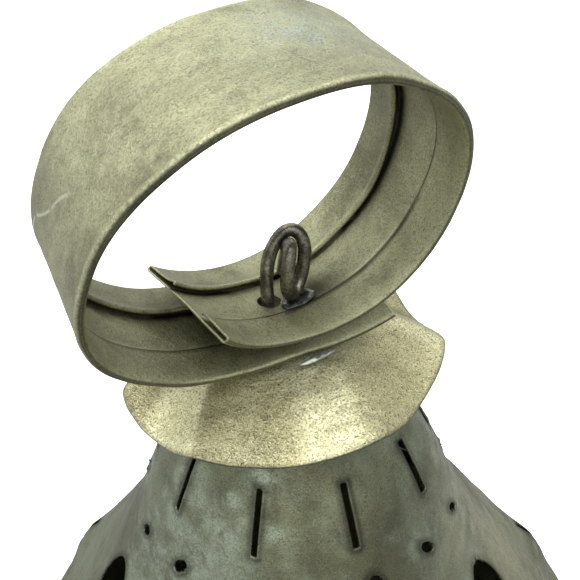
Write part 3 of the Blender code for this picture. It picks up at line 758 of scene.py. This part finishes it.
def make_ring(material):
    """The strip with both long edges folded in, rolled into a ring whose ends lap on the cap."""
    at = np.linspace(0, 1, STRIP_STATIONS)
    path = np.repeat(strip_path()[None], STRIP_STATIONS, 0)
    turn = smooth(STRIP, at)[:, 0][:, None]
    hem = np.clip(-(path[..., 1] + 0.3) / 0.6, 0, 1)
    loosen_hems(path, hem, at, turn)
    skin_points = strip_points(at, path)
    dents = 0.13 * ripple(skin_points, 24, 7) + 0.035 * ripple(skin_points, 6, 8)
    path[..., 1] += np.where(hem > 0, 0, 1) * dents
    loop = both_faces(path)
    places = ring_to_world(strip_points(at, loop))
    marks = strip_marks(at, turn, loop)
    made = add_piece("ring_strip", places.reshape(-1, 3), strip_faces(loop.shape[1]), material, marks)
    cut_wire_hole(made)
    stand_for(made, "ring_handle", "lantern")


def strip_marks(at, turn, loop):
    """Where the strip is rubbed bright or lit with painted highlights, scratched, grimy or darkened with
    painted shade and shadow, and given a pale painted sheen at its top.
    """
    y = loop[..., 0]
    out = loop[..., 1]
    # painted sheen: a pale bluish patch on the outer face at the ring's top, in the bloom's colour
    bloom_and_sheen = 0.8 * bump(turn + 199, 15) * bump(y - 3, 9) * (out > -0.3)
    return {
        "wear_and_highlight": np.clip(strip_wear_and_highlight(at, turn, y, out), 0, 1),
        "scratch": np.clip(strip_scratches(turn, y, out), 0, 1),
        "dirt_and_shade": np.clip(strip_dirt_and_shade(turn, y, out), 0, 1),
        "bloom_and_sheen": np.clip(bloom_and_sheen, 0, 1),
    }


def on_inner_skin(out):
    """1 on the skin's inner face and where the hems meet it, and 0 on the outer face and the hems."""
    return np.clip((-0.08 - out) / 0.1, 0, 1) * (out > -0.4)


def spot(turn, y, middle, half):
    """A soft spot on the strip, at (angle, across) and of half sizes (angle, across)."""
    return bump(np.hypot((turn - middle[0]) / half[0], (y - middle[1]) / half[1]), 1)


def strip_wear_and_highlight(at, turn, y, out):
    """Painted highlights along the rims, by the near fold and along the hems' free edges, rubbed ends, and
    the stretch that fingers hold.
    """
    # painted highlight along both rims' outer shoulders
    rim_highlight = bump(np.abs(y) - RIM_ACROSS, 0.42) * bump(out - 0.25, 0.3) * 0.9
    # painted highlight line where the near fold starts, on the hem side
    rim_highlight_line = 0.75 * bump(y + 14.9, 0.5) * (out < -0.9)
    ends = bump(at, 0.002)[:, None] + bump(at - 1, 0.003)[:, None]
    # painted highlight along the hems' free edges
    near_free = bump(y - NEAR_FREE_ACROSS, 0.5) * on_inner_skin(out)
    far_free = 0.6 * bump(y - FAR_FREE_ACROSS, 0.35) * (out < -1.2)
    handled = 0.8 * spot(turn, y, (-268, -6), (26, 9)) * (out < 0)
    return rim_highlight + rim_highlight_line + 0.6 * ends + 0.8 * (near_free + far_free) + handled


def strip_scratches(turn, y, out):
    """Scratches on the outer face, each fading at its ends."""
    total = np.zeros_like(y)
    for start, end, y0, y1, sag, strength in SCRATCHES:
        share = np.clip((turn - start) / (end - start), -1, 2)
        line = y0 + (y1 - y0) * share + sag * share * (1 - share) * 4
        within = np.clip((0.5 - np.abs(share - 0.5)) * 8, 0, 1)
        total += strength * bump(y - line, SCRATCH_WIDTH) * within * (out > 0.2)
    return total


def strip_dirt_and_shade(turn, y, out):
    """Painted shade under the hems' free edges, on the far hem and in the near rim's fold, painted shadow of
    the lap, and a dark stain on the inner lap.
    """
    inner = on_inner_skin(out)
    # painted shade in the gaps under the hems' free edges
    gap_shade = bump(y - 5.7, 0.7) * inner + 0.4 * bump(y - 4.8, 1.1) * inner
    gap_shade = gap_shade + bump(y + 6.5, 0.4) * (out < -0.6)
    # painted shade on the underside of the near rim's fold
    past_fold = y - FOLD_ACROSS
    fold_shade = bump(np.minimum(past_fold, 0), 0.05) * bump(np.maximum(past_fold, 0), 0.13)
    stain = spot(turn, y, (-339, -3), (15, 4.2)) * (turn < -300) * (out < 0)
    # painted shadow that the lap casts on the strip
    shade = spot(turn, y, (-22, -3), (14, 7)) + 0.7 * spot(turn, y, (4, -9), (18, 5))
    shade = shade * (turn > -90) * (out < 0)
    # painted shade on the back of the far hem
    far_hem_shade = 0.22 * (y > 6) * (out < -0.6)
    return gap_shade + 0.8 * fold_shade + 0.95 * stain + 0.65 * shade + far_hem_shade


# Wire eye and solder

EYE_FOOT = Vector((0.6, -0.9, -28.9))
EYE_ACROSS = Vector((0.879, -0.476, 0)).normalized()
EYE_BACK = Vector((0.476, 0.879, 0)).normalized()
WIRE_R = 1.6
# The visible wire is a little thinner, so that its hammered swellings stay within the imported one
WIRE_SKIN_R = WIRE_R * 0.97
WIRE_STATIONS = 420
WIRE_SIDES = 22
# Half sizes of the hole that the wire comes up through, and half its cut's height
WIRE_HOLE_HALF = (2.75, 2.3)
WIRE_HOLE_SIDES = 40
WIRE_HOLE_REACH = 2.4

# Across, back and up from the foot
WIRE_ROUTE = [
    (0.0, 0.0, -1.2),
    (-0.1, 0.3, 1.5),
    (-0.2, 1.9, 5.5),
    (0.2, 4.0, 9.3),
    (1.6, 5.9, 12.7),
    (3.5, 7.3, 14.8),
    (5.5, 7.9, 15.3),
    (7.4, 7.3, 14.2),
    (8.3, 6.2, 11.6),
    (8.2, 5.0, 8.0),
    (7.5, 4.2, 4.2),
    (6.6, 2.6, 2.3),
    (5.6, 0.6, 2.2),
    (4.7, -0.9, 4.4),
    (4.5, -1.2, 8.0),
    (4.8, -0.4, 12.0),
    (5.1, 1.4, 14.9),
    (5.0, 3.5, 14.9),
    (4.5, 5.2, 12.2),
    (4.0, 6.4, 8.5),
    (3.6, 7.0, 5.0),
    (3.4, 7.2, 3.0),
]


def cut_wire_hole(ring):
    """The oval hole in the inner lap that the wire comes up through."""
    angle = np.linspace(0, math.tau, WIRE_HOLE_SIDES, endpoint=False)
    outline = np.stack([WIRE_HOLE_HALF[0] * np.cos(angle), WIRE_HOLE_HALF[1] * np.sin(angle)], -1)
    across = np.array(EYE_ACROSS)
    middle = np.array(EYE_FOOT) + across * 0.2
    rings = []
    for height in (-WIRE_HOLE_REACH, WIRE_HOLE_REACH):
        spots = middle + outline[:, :1] * across + outline[:, 1:] * np.array(EYE_BACK)
        spots[:, 2] += height
        rings.append(spots)
    points = ring_to_world(np.concatenate(rings))
    sides = grid_faces(2, WIRE_HOLE_SIDES, closed_columns=True).tolist()
    ends = [tuple(range(WIRE_HOLE_SIDES))[::-1], tuple(range(WIRE_HOLE_SIDES, 2 * WIRE_HOLE_SIDES))]
    mesh = bpy.data.meshes.new("wire_hole")
    mesh.from_pydata((points * MM).tolist(), [], sides + ends)
    mesh.materials.append(ring.data.materials[0])
    cutter = bpy.data.objects.new("wire_hole", mesh)
    bpy.context.scene.collection.objects.link(cutter)
    hole = ring.modifiers.new("hole", "BOOLEAN")
    hole.operation = "DIFFERENCE"
    hole.solver = "EXACT"
    hole.object = cutter
    apply_modifiers(ring)
    bpy.data.objects.remove(cutter)


def tube_points(line, radius, sides):
    """Rings of points round a line, carried along it without twisting."""
    way = np.gradient(line, axis=0)
    way /= np.linalg.norm(way, axis=1, keepdims=True)
    angle = np.linspace(0, math.tau, sides, endpoint=False)[:, None]
    normal = np.cross(way[0], (1.0, 0.3, 0.2))
    rows = []
    for spot_on_line, ahead in zip(line, way):
        normal = normal - ahead * (normal @ ahead)
        normal = normal / np.linalg.norm(normal)
        other = np.cross(ahead, normal)
        rows.append(spot_on_line + radius * (normal * np.cos(angle) + other * np.sin(angle)))
    return np.array(rows)


def make_wire(material):
    """One wire bent into two arches, slightly flattened where it was hammered round."""
    route = smooth(WIRE_ROUTE, np.linspace(0, 1, WIRE_STATIONS))
    axes = np.stack([np.array(EYE_ACROSS), np.array(EYE_BACK), np.array((0, 0, 1.0))])
    line = route @ axes + np.array(EYE_FOOT)
    points = tube_points(line, WIRE_SKIN_R, WIRE_SIDES)
    centre = line[:, None]
    swell = 1 + 0.025 * ripple(points, 9, 9) + 0.012 * ripple(points, 2.2, 10)
    points = (centre + (points - centre) * swell[..., None]).reshape(-1, 3)
    faces = grid_faces(WIRE_STATIONS, WIRE_SIDES, closed_columns=True)
    made = add_piece("wire_bent", ring_to_world(points), faces, material, {"wear_and_highlight": wire_rub(points)})
    close_ends(made, WIRE_SIDES)
    stand_for(made, "wire_eye", "lantern")


def wire_rub(points):
    """Wear towards the top of the wire, where things hang."""
    return np.clip((points[:, 2] + 20) / 10, 0, 1) * 0.6


def solder_drop(name, node, material, centre, size, lean, seed, bend=0.0, pale=0.0):
    """A puddle of solder with a lumpy, fluid outline and a thin feathered edge."""
    turns = 96
    rings = 40
    angle, share = np.meshgrid(np.linspace(0, math.tau, turns, endpoint=False), np.linspace(0.01, 1, rings))
    unit = np.stack([np.cos(angle), np.sin(angle), 0 * angle], -1)
    outline = 1 + 0.1 * ripple(unit, 2.2, seed)
    x = size[0] * share * outline * np.cos(angle)
    y = size[1] * share * outline * np.sin(angle)
    z = size[2] * np.sqrt(np.clip(1 - share**2.4, 0, 1)) + bend * x * x
    place = np.stack([x, y, z], -1)
    place[..., 2] += 0.12 * ripple(place, 2.6, seed + 1) * (1 - share**4)
    under = place.copy()
    under[..., 2] = bend * under[..., 0] ** 2 - 0.12
    points = np.concatenate([place[::-1].reshape(-1, 3), under.reshape(-1, 3)])
    tilt_x = Matrix.Rotation(math.radians(lean[0]), 3, "X")
    tilt_y = Matrix.Rotation(math.radians(lean[1]), 3, "Y")
    points = points @ np.array(tilt_x @ tilt_y).T + np.array(centre)
    faces = grid_faces(2 * rings, turns, closed_columns=True)
    marks = {"wear_and_highlight": np.full(len(points), pale)}
    made = add_piece(name, ring_to_world(points), faces, material, marks)
    close_ends(made, turns)
    stand_for(made, node, "lantern")


def make_solder(material):
    """The puddle at the wire's foot, and the pale smear between the ring's foot and the cap."""
    solder_drop(
        "solder_puddle", "solder_eye", material,
        centre=(7.0, -4.0, -28.2), size=(4.3, 2.3, 0.85), lean=(-6, -7), seed=21, bend=0.02,
    )
    solder_drop(
        "solder_spot", "solder_front", material,
        centre=(4.4, -17.5, -32.8), size=(4.4, 0.8, 0.6), lean=(0, 0), seed=31, pale=0.8,
    )


# Materials

SCRATCH_PALE = (0.85, 0.86, 0.74)
DIRT_AND_SHADE_DARK = (0.012, 0.011, 0.008)


class Paint:
    """A node material built step by step on one Principled shader."""

    def __init__(self, name):
        self.material = bpy.data.materials.new(name)
        self.material.use_nodes = True
        self.nodes = self.material.node_tree.nodes
        self.links = self.material.node_tree.links
        self.shader = self.nodes["Principled BSDF"]
        self.where = self.nodes.new("ShaderNodeTexCoord").outputs["Object"]

    def noise(self, scale, detail=4.0, rough=0.6, warp=0.0, stretch=None, turn=(0, 0, 0)):
        """Noise of that many waves per metre. stretch scales the axes apart."""
        where = self.where
        if stretch is not None:
            mapping = self.nodes.new("ShaderNodeMapping")
            mapping.inputs["Scale"].default_value = stretch
            mapping.inputs["Rotation"].default_value = turn
            self.links.new(where, mapping.inputs["Vector"])
            where = mapping.outputs["Vector"]
        made = self.nodes.new("ShaderNodeTexNoise")
        made.inputs["Scale"].default_value = scale
        made.inputs["Detail"].default_value = detail
        made.inputs["Roughness"].default_value = rough
        made.inputs["Distortion"].default_value = warp
        self.links.new(where, made.inputs["Vector"])
        return made.outputs["Fac"]

    def pits(self, scale):
        """Rounded pits, that many to a metre."""
        made = self.nodes.new("ShaderNodeTexVoronoi")
        made.inputs["Scale"].default_value = scale
        self.links.new(self.where, made.inputs["Vector"])
        return made.outputs["Distance"]

    def ramp(self, value, low, high, low_out=0.0, high_out=1.0):
        """value carried from low..high to low_out..high_out."""
        made = self.nodes.new("ShaderNodeMapRange")
        made.interpolation_type = "SMOOTHSTEP"
        made.inputs["From Min"].default_value = low
        made.inputs["From Max"].default_value = high
        made.inputs["To Min"].default_value = low_out
        made.inputs["To Max"].default_value = high_out
        self.links.new(value, made.inputs["Value"])
        return made.outputs["Result"]

    def mark(self, name):
        """A mark that the mesh holds per point."""
        made = self.nodes.new("ShaderNodeAttribute")
        made.attribute_name = name
        return made.outputs["Fac"]

    def mix(self, factor, a, b):
        """Colours or sockets a and b, mixed by factor."""
        made = self.nodes.new("ShaderNodeMix")
        made.data_type = "RGBA"
        self.put(factor, made.inputs[0])
        self.put(a, made.inputs[6])
        self.put(b, made.inputs[7])
        return made.outputs[2]

    def math(self, kind, a, b):
        """Two numbers or sockets joined by the given operation."""
        made = self.nodes.new("ShaderNodeMath")
        made.operation = kind
        self.put(a, made.inputs[0])
        self.put(b, made.inputs[1])
        return made.outputs[0]

    def put(self, value, socket):
        if isinstance(value, bpy.types.NodeSocket):
            self.links.new(value, socket)
        elif isinstance(value, tuple):
            socket.default_value = (*value, 1)
        else:
            socket.default_value = value

    def bumps(self, *layers):
        """Bump layers of (height socket, depth in metres), one over another."""
        normal = None
        for height, depth in layers:
            made = self.nodes.new("ShaderNodeBump")
            made.inputs["Distance"].default_value = depth
            self.links.new(height, made.inputs["Height"])
            if normal is not None:
                self.links.new(normal, made.inputs["Normal"])
            normal = made.outputs["Normal"]
        self.links.new(normal, self.shader.inputs["Normal"])

    def finish(self, colour, roughness, metallic):
        self.links.new(colour, self.shader.inputs["Base Color"])
        self.links.new(roughness, self.shader.inputs["Roughness"])
        self.shader.inputs["Metallic"].default_value = metallic
        return self.material


def brass(
    name, tones, stain, bloom_and_sheen, bright, rough, metallic, speckle, patch=42.0, grit=2400.0, relief=1, glint=0.25
):
    """Aged brass: mottled tones, dark pits, rubbed edges and painted highlights, pale bloom round openings
    and a painted sheen, and grime with painted shade.

    speckle is how dark its pits are and glint how bright its flecks. patch and grit are how many
    clouds and grains there are to a metre, and relief is how deep its bumps are.
    """
    paint = Paint(name)
    cloud = paint.noise(patch, 5, 0.62, 0.8)
    mottle = paint.noise(patch * 8, 8, 0.78, 0.5)
    grain = paint.noise(grit, 3, 0.7)
    fleck = paint.noise(grit * 1.25, 2, 0.6)
    streak = paint.noise(110, 5, 0.66, 0.3, stretch=(1, 1, 0.16))
    scratch = paint.noise(900, 2, 0.5, 0.2, stretch=(1.0, 0.04, 0.5), turn=(0.4, 0.3, 0.7))
    colour = paint.mix(paint.ramp(cloud, 0.36, 0.64), tones[0], tones[1])
    colour = paint.mix(paint.ramp(mottle, 0.44, 0.66, 0, 0.75), colour, tones[2])
    colour = paint.mix(paint.ramp(streak, 0.5, 0.72, 0, 0.5), colour, stain)
    # pale bloom, and the painted sheen that the same mark carries
    pale = paint.math("MULTIPLY", paint.mark("bloom_and_sheen"), paint.ramp(mottle, 0.36, 0.62, 0.1, 0.8))
    colour = paint.mix(pale, colour, bloom_and_sheen)
    # rubbed metal, and the painted highlights that the same mark carries
    rubbed_and_lit = paint.math("MULTIPLY", paint.mark("wear_and_highlight"), paint.ramp(mottle, 0.36, 0.56, 0.45, 1))
    colour = paint.mix(rubbed_and_lit, colour, bright)
    pitted = paint.ramp(grain, 0.46, 0.64, 0, speckle)
    specks = paint.math("MULTIPLY", pitted, paint.ramp(mottle, 0.35, 0.6, 0.4, 1))
    colour = paint.mix(specks, colour, stain)
    colour = paint.mix(paint.ramp(fleck, 0.55, 0.72, 0, glint), colour, bright)
    colour = paint.mix(paint.ramp(scratch, 0.66, 0.76, 0, 0.14), colour, bright)
    colour = paint.mix(paint.mark("scratch"), colour, SCRATCH_PALE)
    # grime, and the painted shade and shadow that the same mark carries
    colour = paint.mix(paint.math("MULTIPLY", paint.mark("dirt_and_shade"), 0.9), colour, DIRT_AND_SHADE_DARK)
    shine = paint.ramp(mottle, 0.3, 0.7, rough + 0.1, rough - 0.1)
    uneven = paint.math("ADD", shine, paint.ramp(grain, 0.4, 0.7, 0, 0.12))
    paint.bumps((mottle, 0.00026 * relief), (grain, 0.00012 * relief), (paint.pits(900), 0.00004 * relief))
    return paint.finish(colour, uneven, metallic)


def band_brass():
    """Sheet of the ring: olive and fairly even."""
    return brass(
        "band_brass_aged",
        tones=((0.255, 0.25, 0.148), (0.425, 0.42, 0.256), (0.345, 0.335, 0.196)),
        stain=(0.07, 0.066, 0.04),
        bloom_and_sheen=(0.42, 0.48, 0.43),
        bright=(0.66, 0.65, 0.42),
        rough=0.4,
        metallic=0.85,
        speckle=0.56,
    )


def cap_brass():
    """Sheet of the cap: yellow, pitted and full of bright flecks."""
    return brass(
        "cap_brass_aged",
        tones=((0.37, 0.34, 0.18), (0.52, 0.48, 0.276), (0.45, 0.405, 0.22)),
        stain=(0.07, 0.056, 0.026),
        bloom_and_sheen=(0.5, 0.53, 0.42),
        bright=(0.91, 0.875, 0.56),
        rough=0.35,
        metallic=0.88,
        speckle=0.9,
        patch=60.0,
        grit=2300.0,
        glint=0.75,
    )


def body_brass():
    """Sheet of the roof, body and door: dark, smooth, with greenish bloom."""
    return brass(
        "body_brass_aged",
        tones=((0.125, 0.127, 0.074), (0.225, 0.245, 0.155), (0.19, 0.186, 0.1)),
        stain=(0.042, 0.036, 0.022),
        bloom_and_sheen=(0.45, 0.52, 0.4),
        bright=(0.47, 0.45, 0.3),
        rough=0.42,
        metallic=0.85,
        speckle=0.55,
        patch=34.0,
        relief=0.6,
    )


def wire_metal():
    """Dark wire, browner and brighter where it is rubbed."""
    paint = Paint("dark_wire_aged")
    cloud = paint.noise(220, 5, 0.6, 0.5)
    grain = paint.noise(1700, 4, 0.7)
    colour = paint.mix(paint.ramp(cloud, 0.35, 0.65), (0.1, 0.1, 0.08), (0.27, 0.25, 0.19))
    colour = paint.mix(paint.ramp(grain, 0.46, 0.66, 0, 0.75), colour, (0.02, 0.018, 0.013))
    rubbed_and_lit = paint.math("MULTIPLY", paint.mark("wear_and_highlight"), paint.ramp(cloud, 0.4, 0.65, 0, 0.7))
    colour = paint.mix(rubbed_and_lit, colour, (0.36, 0.29, 0.19))
    paint.bumps((cloud, 0.0002), (grain, 0.00007))
    return paint.finish(colour, paint.ramp(grain, 0.35, 0.7, 0.24, 0.46), 0.85)


def solder_metal():
    """Dull solder, grey and blotched, and pale where its mark says so."""
    paint = Paint("solder_dull")
    cloud = paint.noise(300, 5, 0.6, 0.8)
    grain = paint.noise(1500, 4, 0.65)
    colour = paint.mix(paint.ramp(cloud, 0.38, 0.48), (0.25, 0.27, 0.235), (0.042, 0.048, 0.042))
    colour = paint.mix(paint.ramp(grain, 0.5, 0.7, 0, 0.4), colour, (0.16, 0.17, 0.155))
    pale = paint.math("MULTIPLY", paint.mark("wear_and_highlight"), paint.ramp(cloud, 0.35, 0.55))
    colour = paint.mix(pale, colour, (0.66, 0.7, 0.64))
    paint.bumps((cloud, 0.00025), (grain, 0.00008))
    return paint.finish(colour, paint.ramp(grain, 0.35, 0.7, 0.28, 0.5), 0.85)


def make_materials():
    """One aged material for each of the record's slots."""
    return {
        "band_brass": band_brass(),
        "cap_brass": cap_brass(),
        "body_brass": body_brass(),
        "dark_wire": wire_metal(),
        "solder": solder_metal(),
    }


def dress_cad_nodes(materials):
    """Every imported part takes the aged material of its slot."""
    for part in frame["record"]["subparts"]:
        node = frame["nodes"][part["node"]]
        node.data.materials.clear()
        node.data.materials.append(materials[part["material_slot"]])


# Stage

FLOOR_HALF = 6
FLOOR_GLOW = 0.3
# Where the studio's dome of light is brightest, and its strength low down and overhead
GLOW_FROM = (-0.06, -0.04, 0.997)
GLOW_LOW = 0.55
GLOW_HIGH = 1.6
GLOW_COLOUR = (0.96, 0.99, 1.0, 1)
# The view, from a little above the ring
CAMERA_SPOT = Vector((-3.19, -109.52, CROWN + 78.58))
CAMERA_TURN = math.radians(1.93)
CAMERA_DIP = math.radians(33.48)
CAMERA_ROLL = math.radians(2.7)
CAMERA_LENS = 35.3


def floor_material():
    paint = Paint("floor_pale")
    cloud = paint.noise(3, 3, 0.5)
    grain = paint.noise(300, 2, 0.5)
    colour = paint.mix(paint.ramp(cloud, 0.3, 0.7), (0.93, 0.93, 0.93), (0.95, 0.95, 0.945))
    paint.bumps((grain, 0.00002))
    paint.shader.inputs["Emission Color"].default_value = (1, 1, 1, 1)
    paint.shader.inputs["Emission Strength"].default_value = FLOOR_GLOW
    return paint.finish(colour, paint.ramp(grain, 0.3, 0.7, 0.85, 0.95), 0)


def make_floor():
    """A plain pale floor, which throws no light back at the lantern."""
    mesh = bpy.data.meshes.new("floor")
    half = FLOOR_HALF
    corners = [(-half, -half, 0), (half, -half, 0), (half, half, 0), (-half, half, 0)]
    mesh.from_pydata(corners, [], [(0, 1, 2, 3)])
    mesh.materials.append(floor_material())
    floor = bpy.data.objects.new("floor", mesh)
    floor.visible_diffuse = False
    floor.visible_glossy = False
    bpy.context.scene.collection.objects.link(floor)


def add_sun(name, energy, towards, spread):
    """A broad, soft light from one side. spread is in degrees."""
    lamp = bpy.data.lights.new(name, "SUN")
    lamp.energy = energy
    lamp.angle = math.radians(spread)
    made = bpy.data.objects.new(name, lamp)
    made.rotation_mode = "QUATERNION"
    made.rotation_quaternion = Vector(towards).to_track_quat("-Z", "Y")
    bpy.context.scene.collection.objects.link(made)


def overhead_glow():
    """A soft dome of light, bright overhead and dim towards the ground."""
    world = bpy.data.worlds.new("studio")
    world.use_nodes = True
    nodes = world.node_tree.nodes
    links = world.node_tree.links
    where = nodes.new("ShaderNodeTexCoord").outputs["Generated"]
    towards = nodes.new("ShaderNodeVectorMath")
    towards.operation = "DOT_PRODUCT"
    towards.inputs[1].default_value = GLOW_FROM
    links.new(where, towards.inputs[0])
    spread = nodes.new("ShaderNodeMapRange")
    spread.interpolation_type = "SMOOTHSTEP"
    spread.inputs["From Min"].default_value = -0.1
    spread.inputs["From Max"].default_value = 0.9
    spread.inputs["To Min"].default_value = GLOW_LOW
    spread.inputs["To Max"].default_value = GLOW_HIGH
    links.new(towards.outputs["Value"], spread.inputs["Value"])
    backdrop = nodes["Background"]
    backdrop.inputs["Color"].default_value = GLOW_COLOUR
    links.new(spread.outputs["Result"], backdrop.inputs["Strength"])
    return world


def make_lights():
    bpy.context.scene.world = overhead_glow()
    add_sun("key", energy=1.9, towards=(0.3, 0.2, -1.0), spread=16)
    add_sun("fill", energy=0.5, towards=(-0.1, 0.9, -0.5), spread=60)
    bpy.context.scene.view_settings.view_transform = "Standard"


def make_camera():
    lens = bpy.data.cameras.new("camera")
    lens.lens = CAMERA_LENS
    lens.sensor_width = 36
    lens.clip_start = 0.005
    made = bpy.data.objects.new("camera", lens)
    level = math.cos(CAMERA_DIP)
    look = Vector((math.sin(CAMERA_TURN) * level, math.cos(CAMERA_TURN) * level, -math.sin(CAMERA_DIP)))
    made.rotation_mode = "QUATERNION"
    made.rotation_quaternion = look.to_track_quat("-Z", "Y") @ Quaternion((0, 0, 1), -CAMERA_ROLL)
    made.location = CAMERA_SPOT * MM
    bpy.context.scene.collection.objects.link(made)
    bpy.context.scene.camera = made


materials = make_materials()
dress_cad_nodes(materials)
make_cone(materials["body_brass"])
make_body(materials["body_brass"])
make_cap(materials["cap_brass"])
make_ring(materials["band_brass"])
make_wire(materials["dark_wire"])
make_solder(materials["solder"])
make_floor()
make_lights()
make_camera()
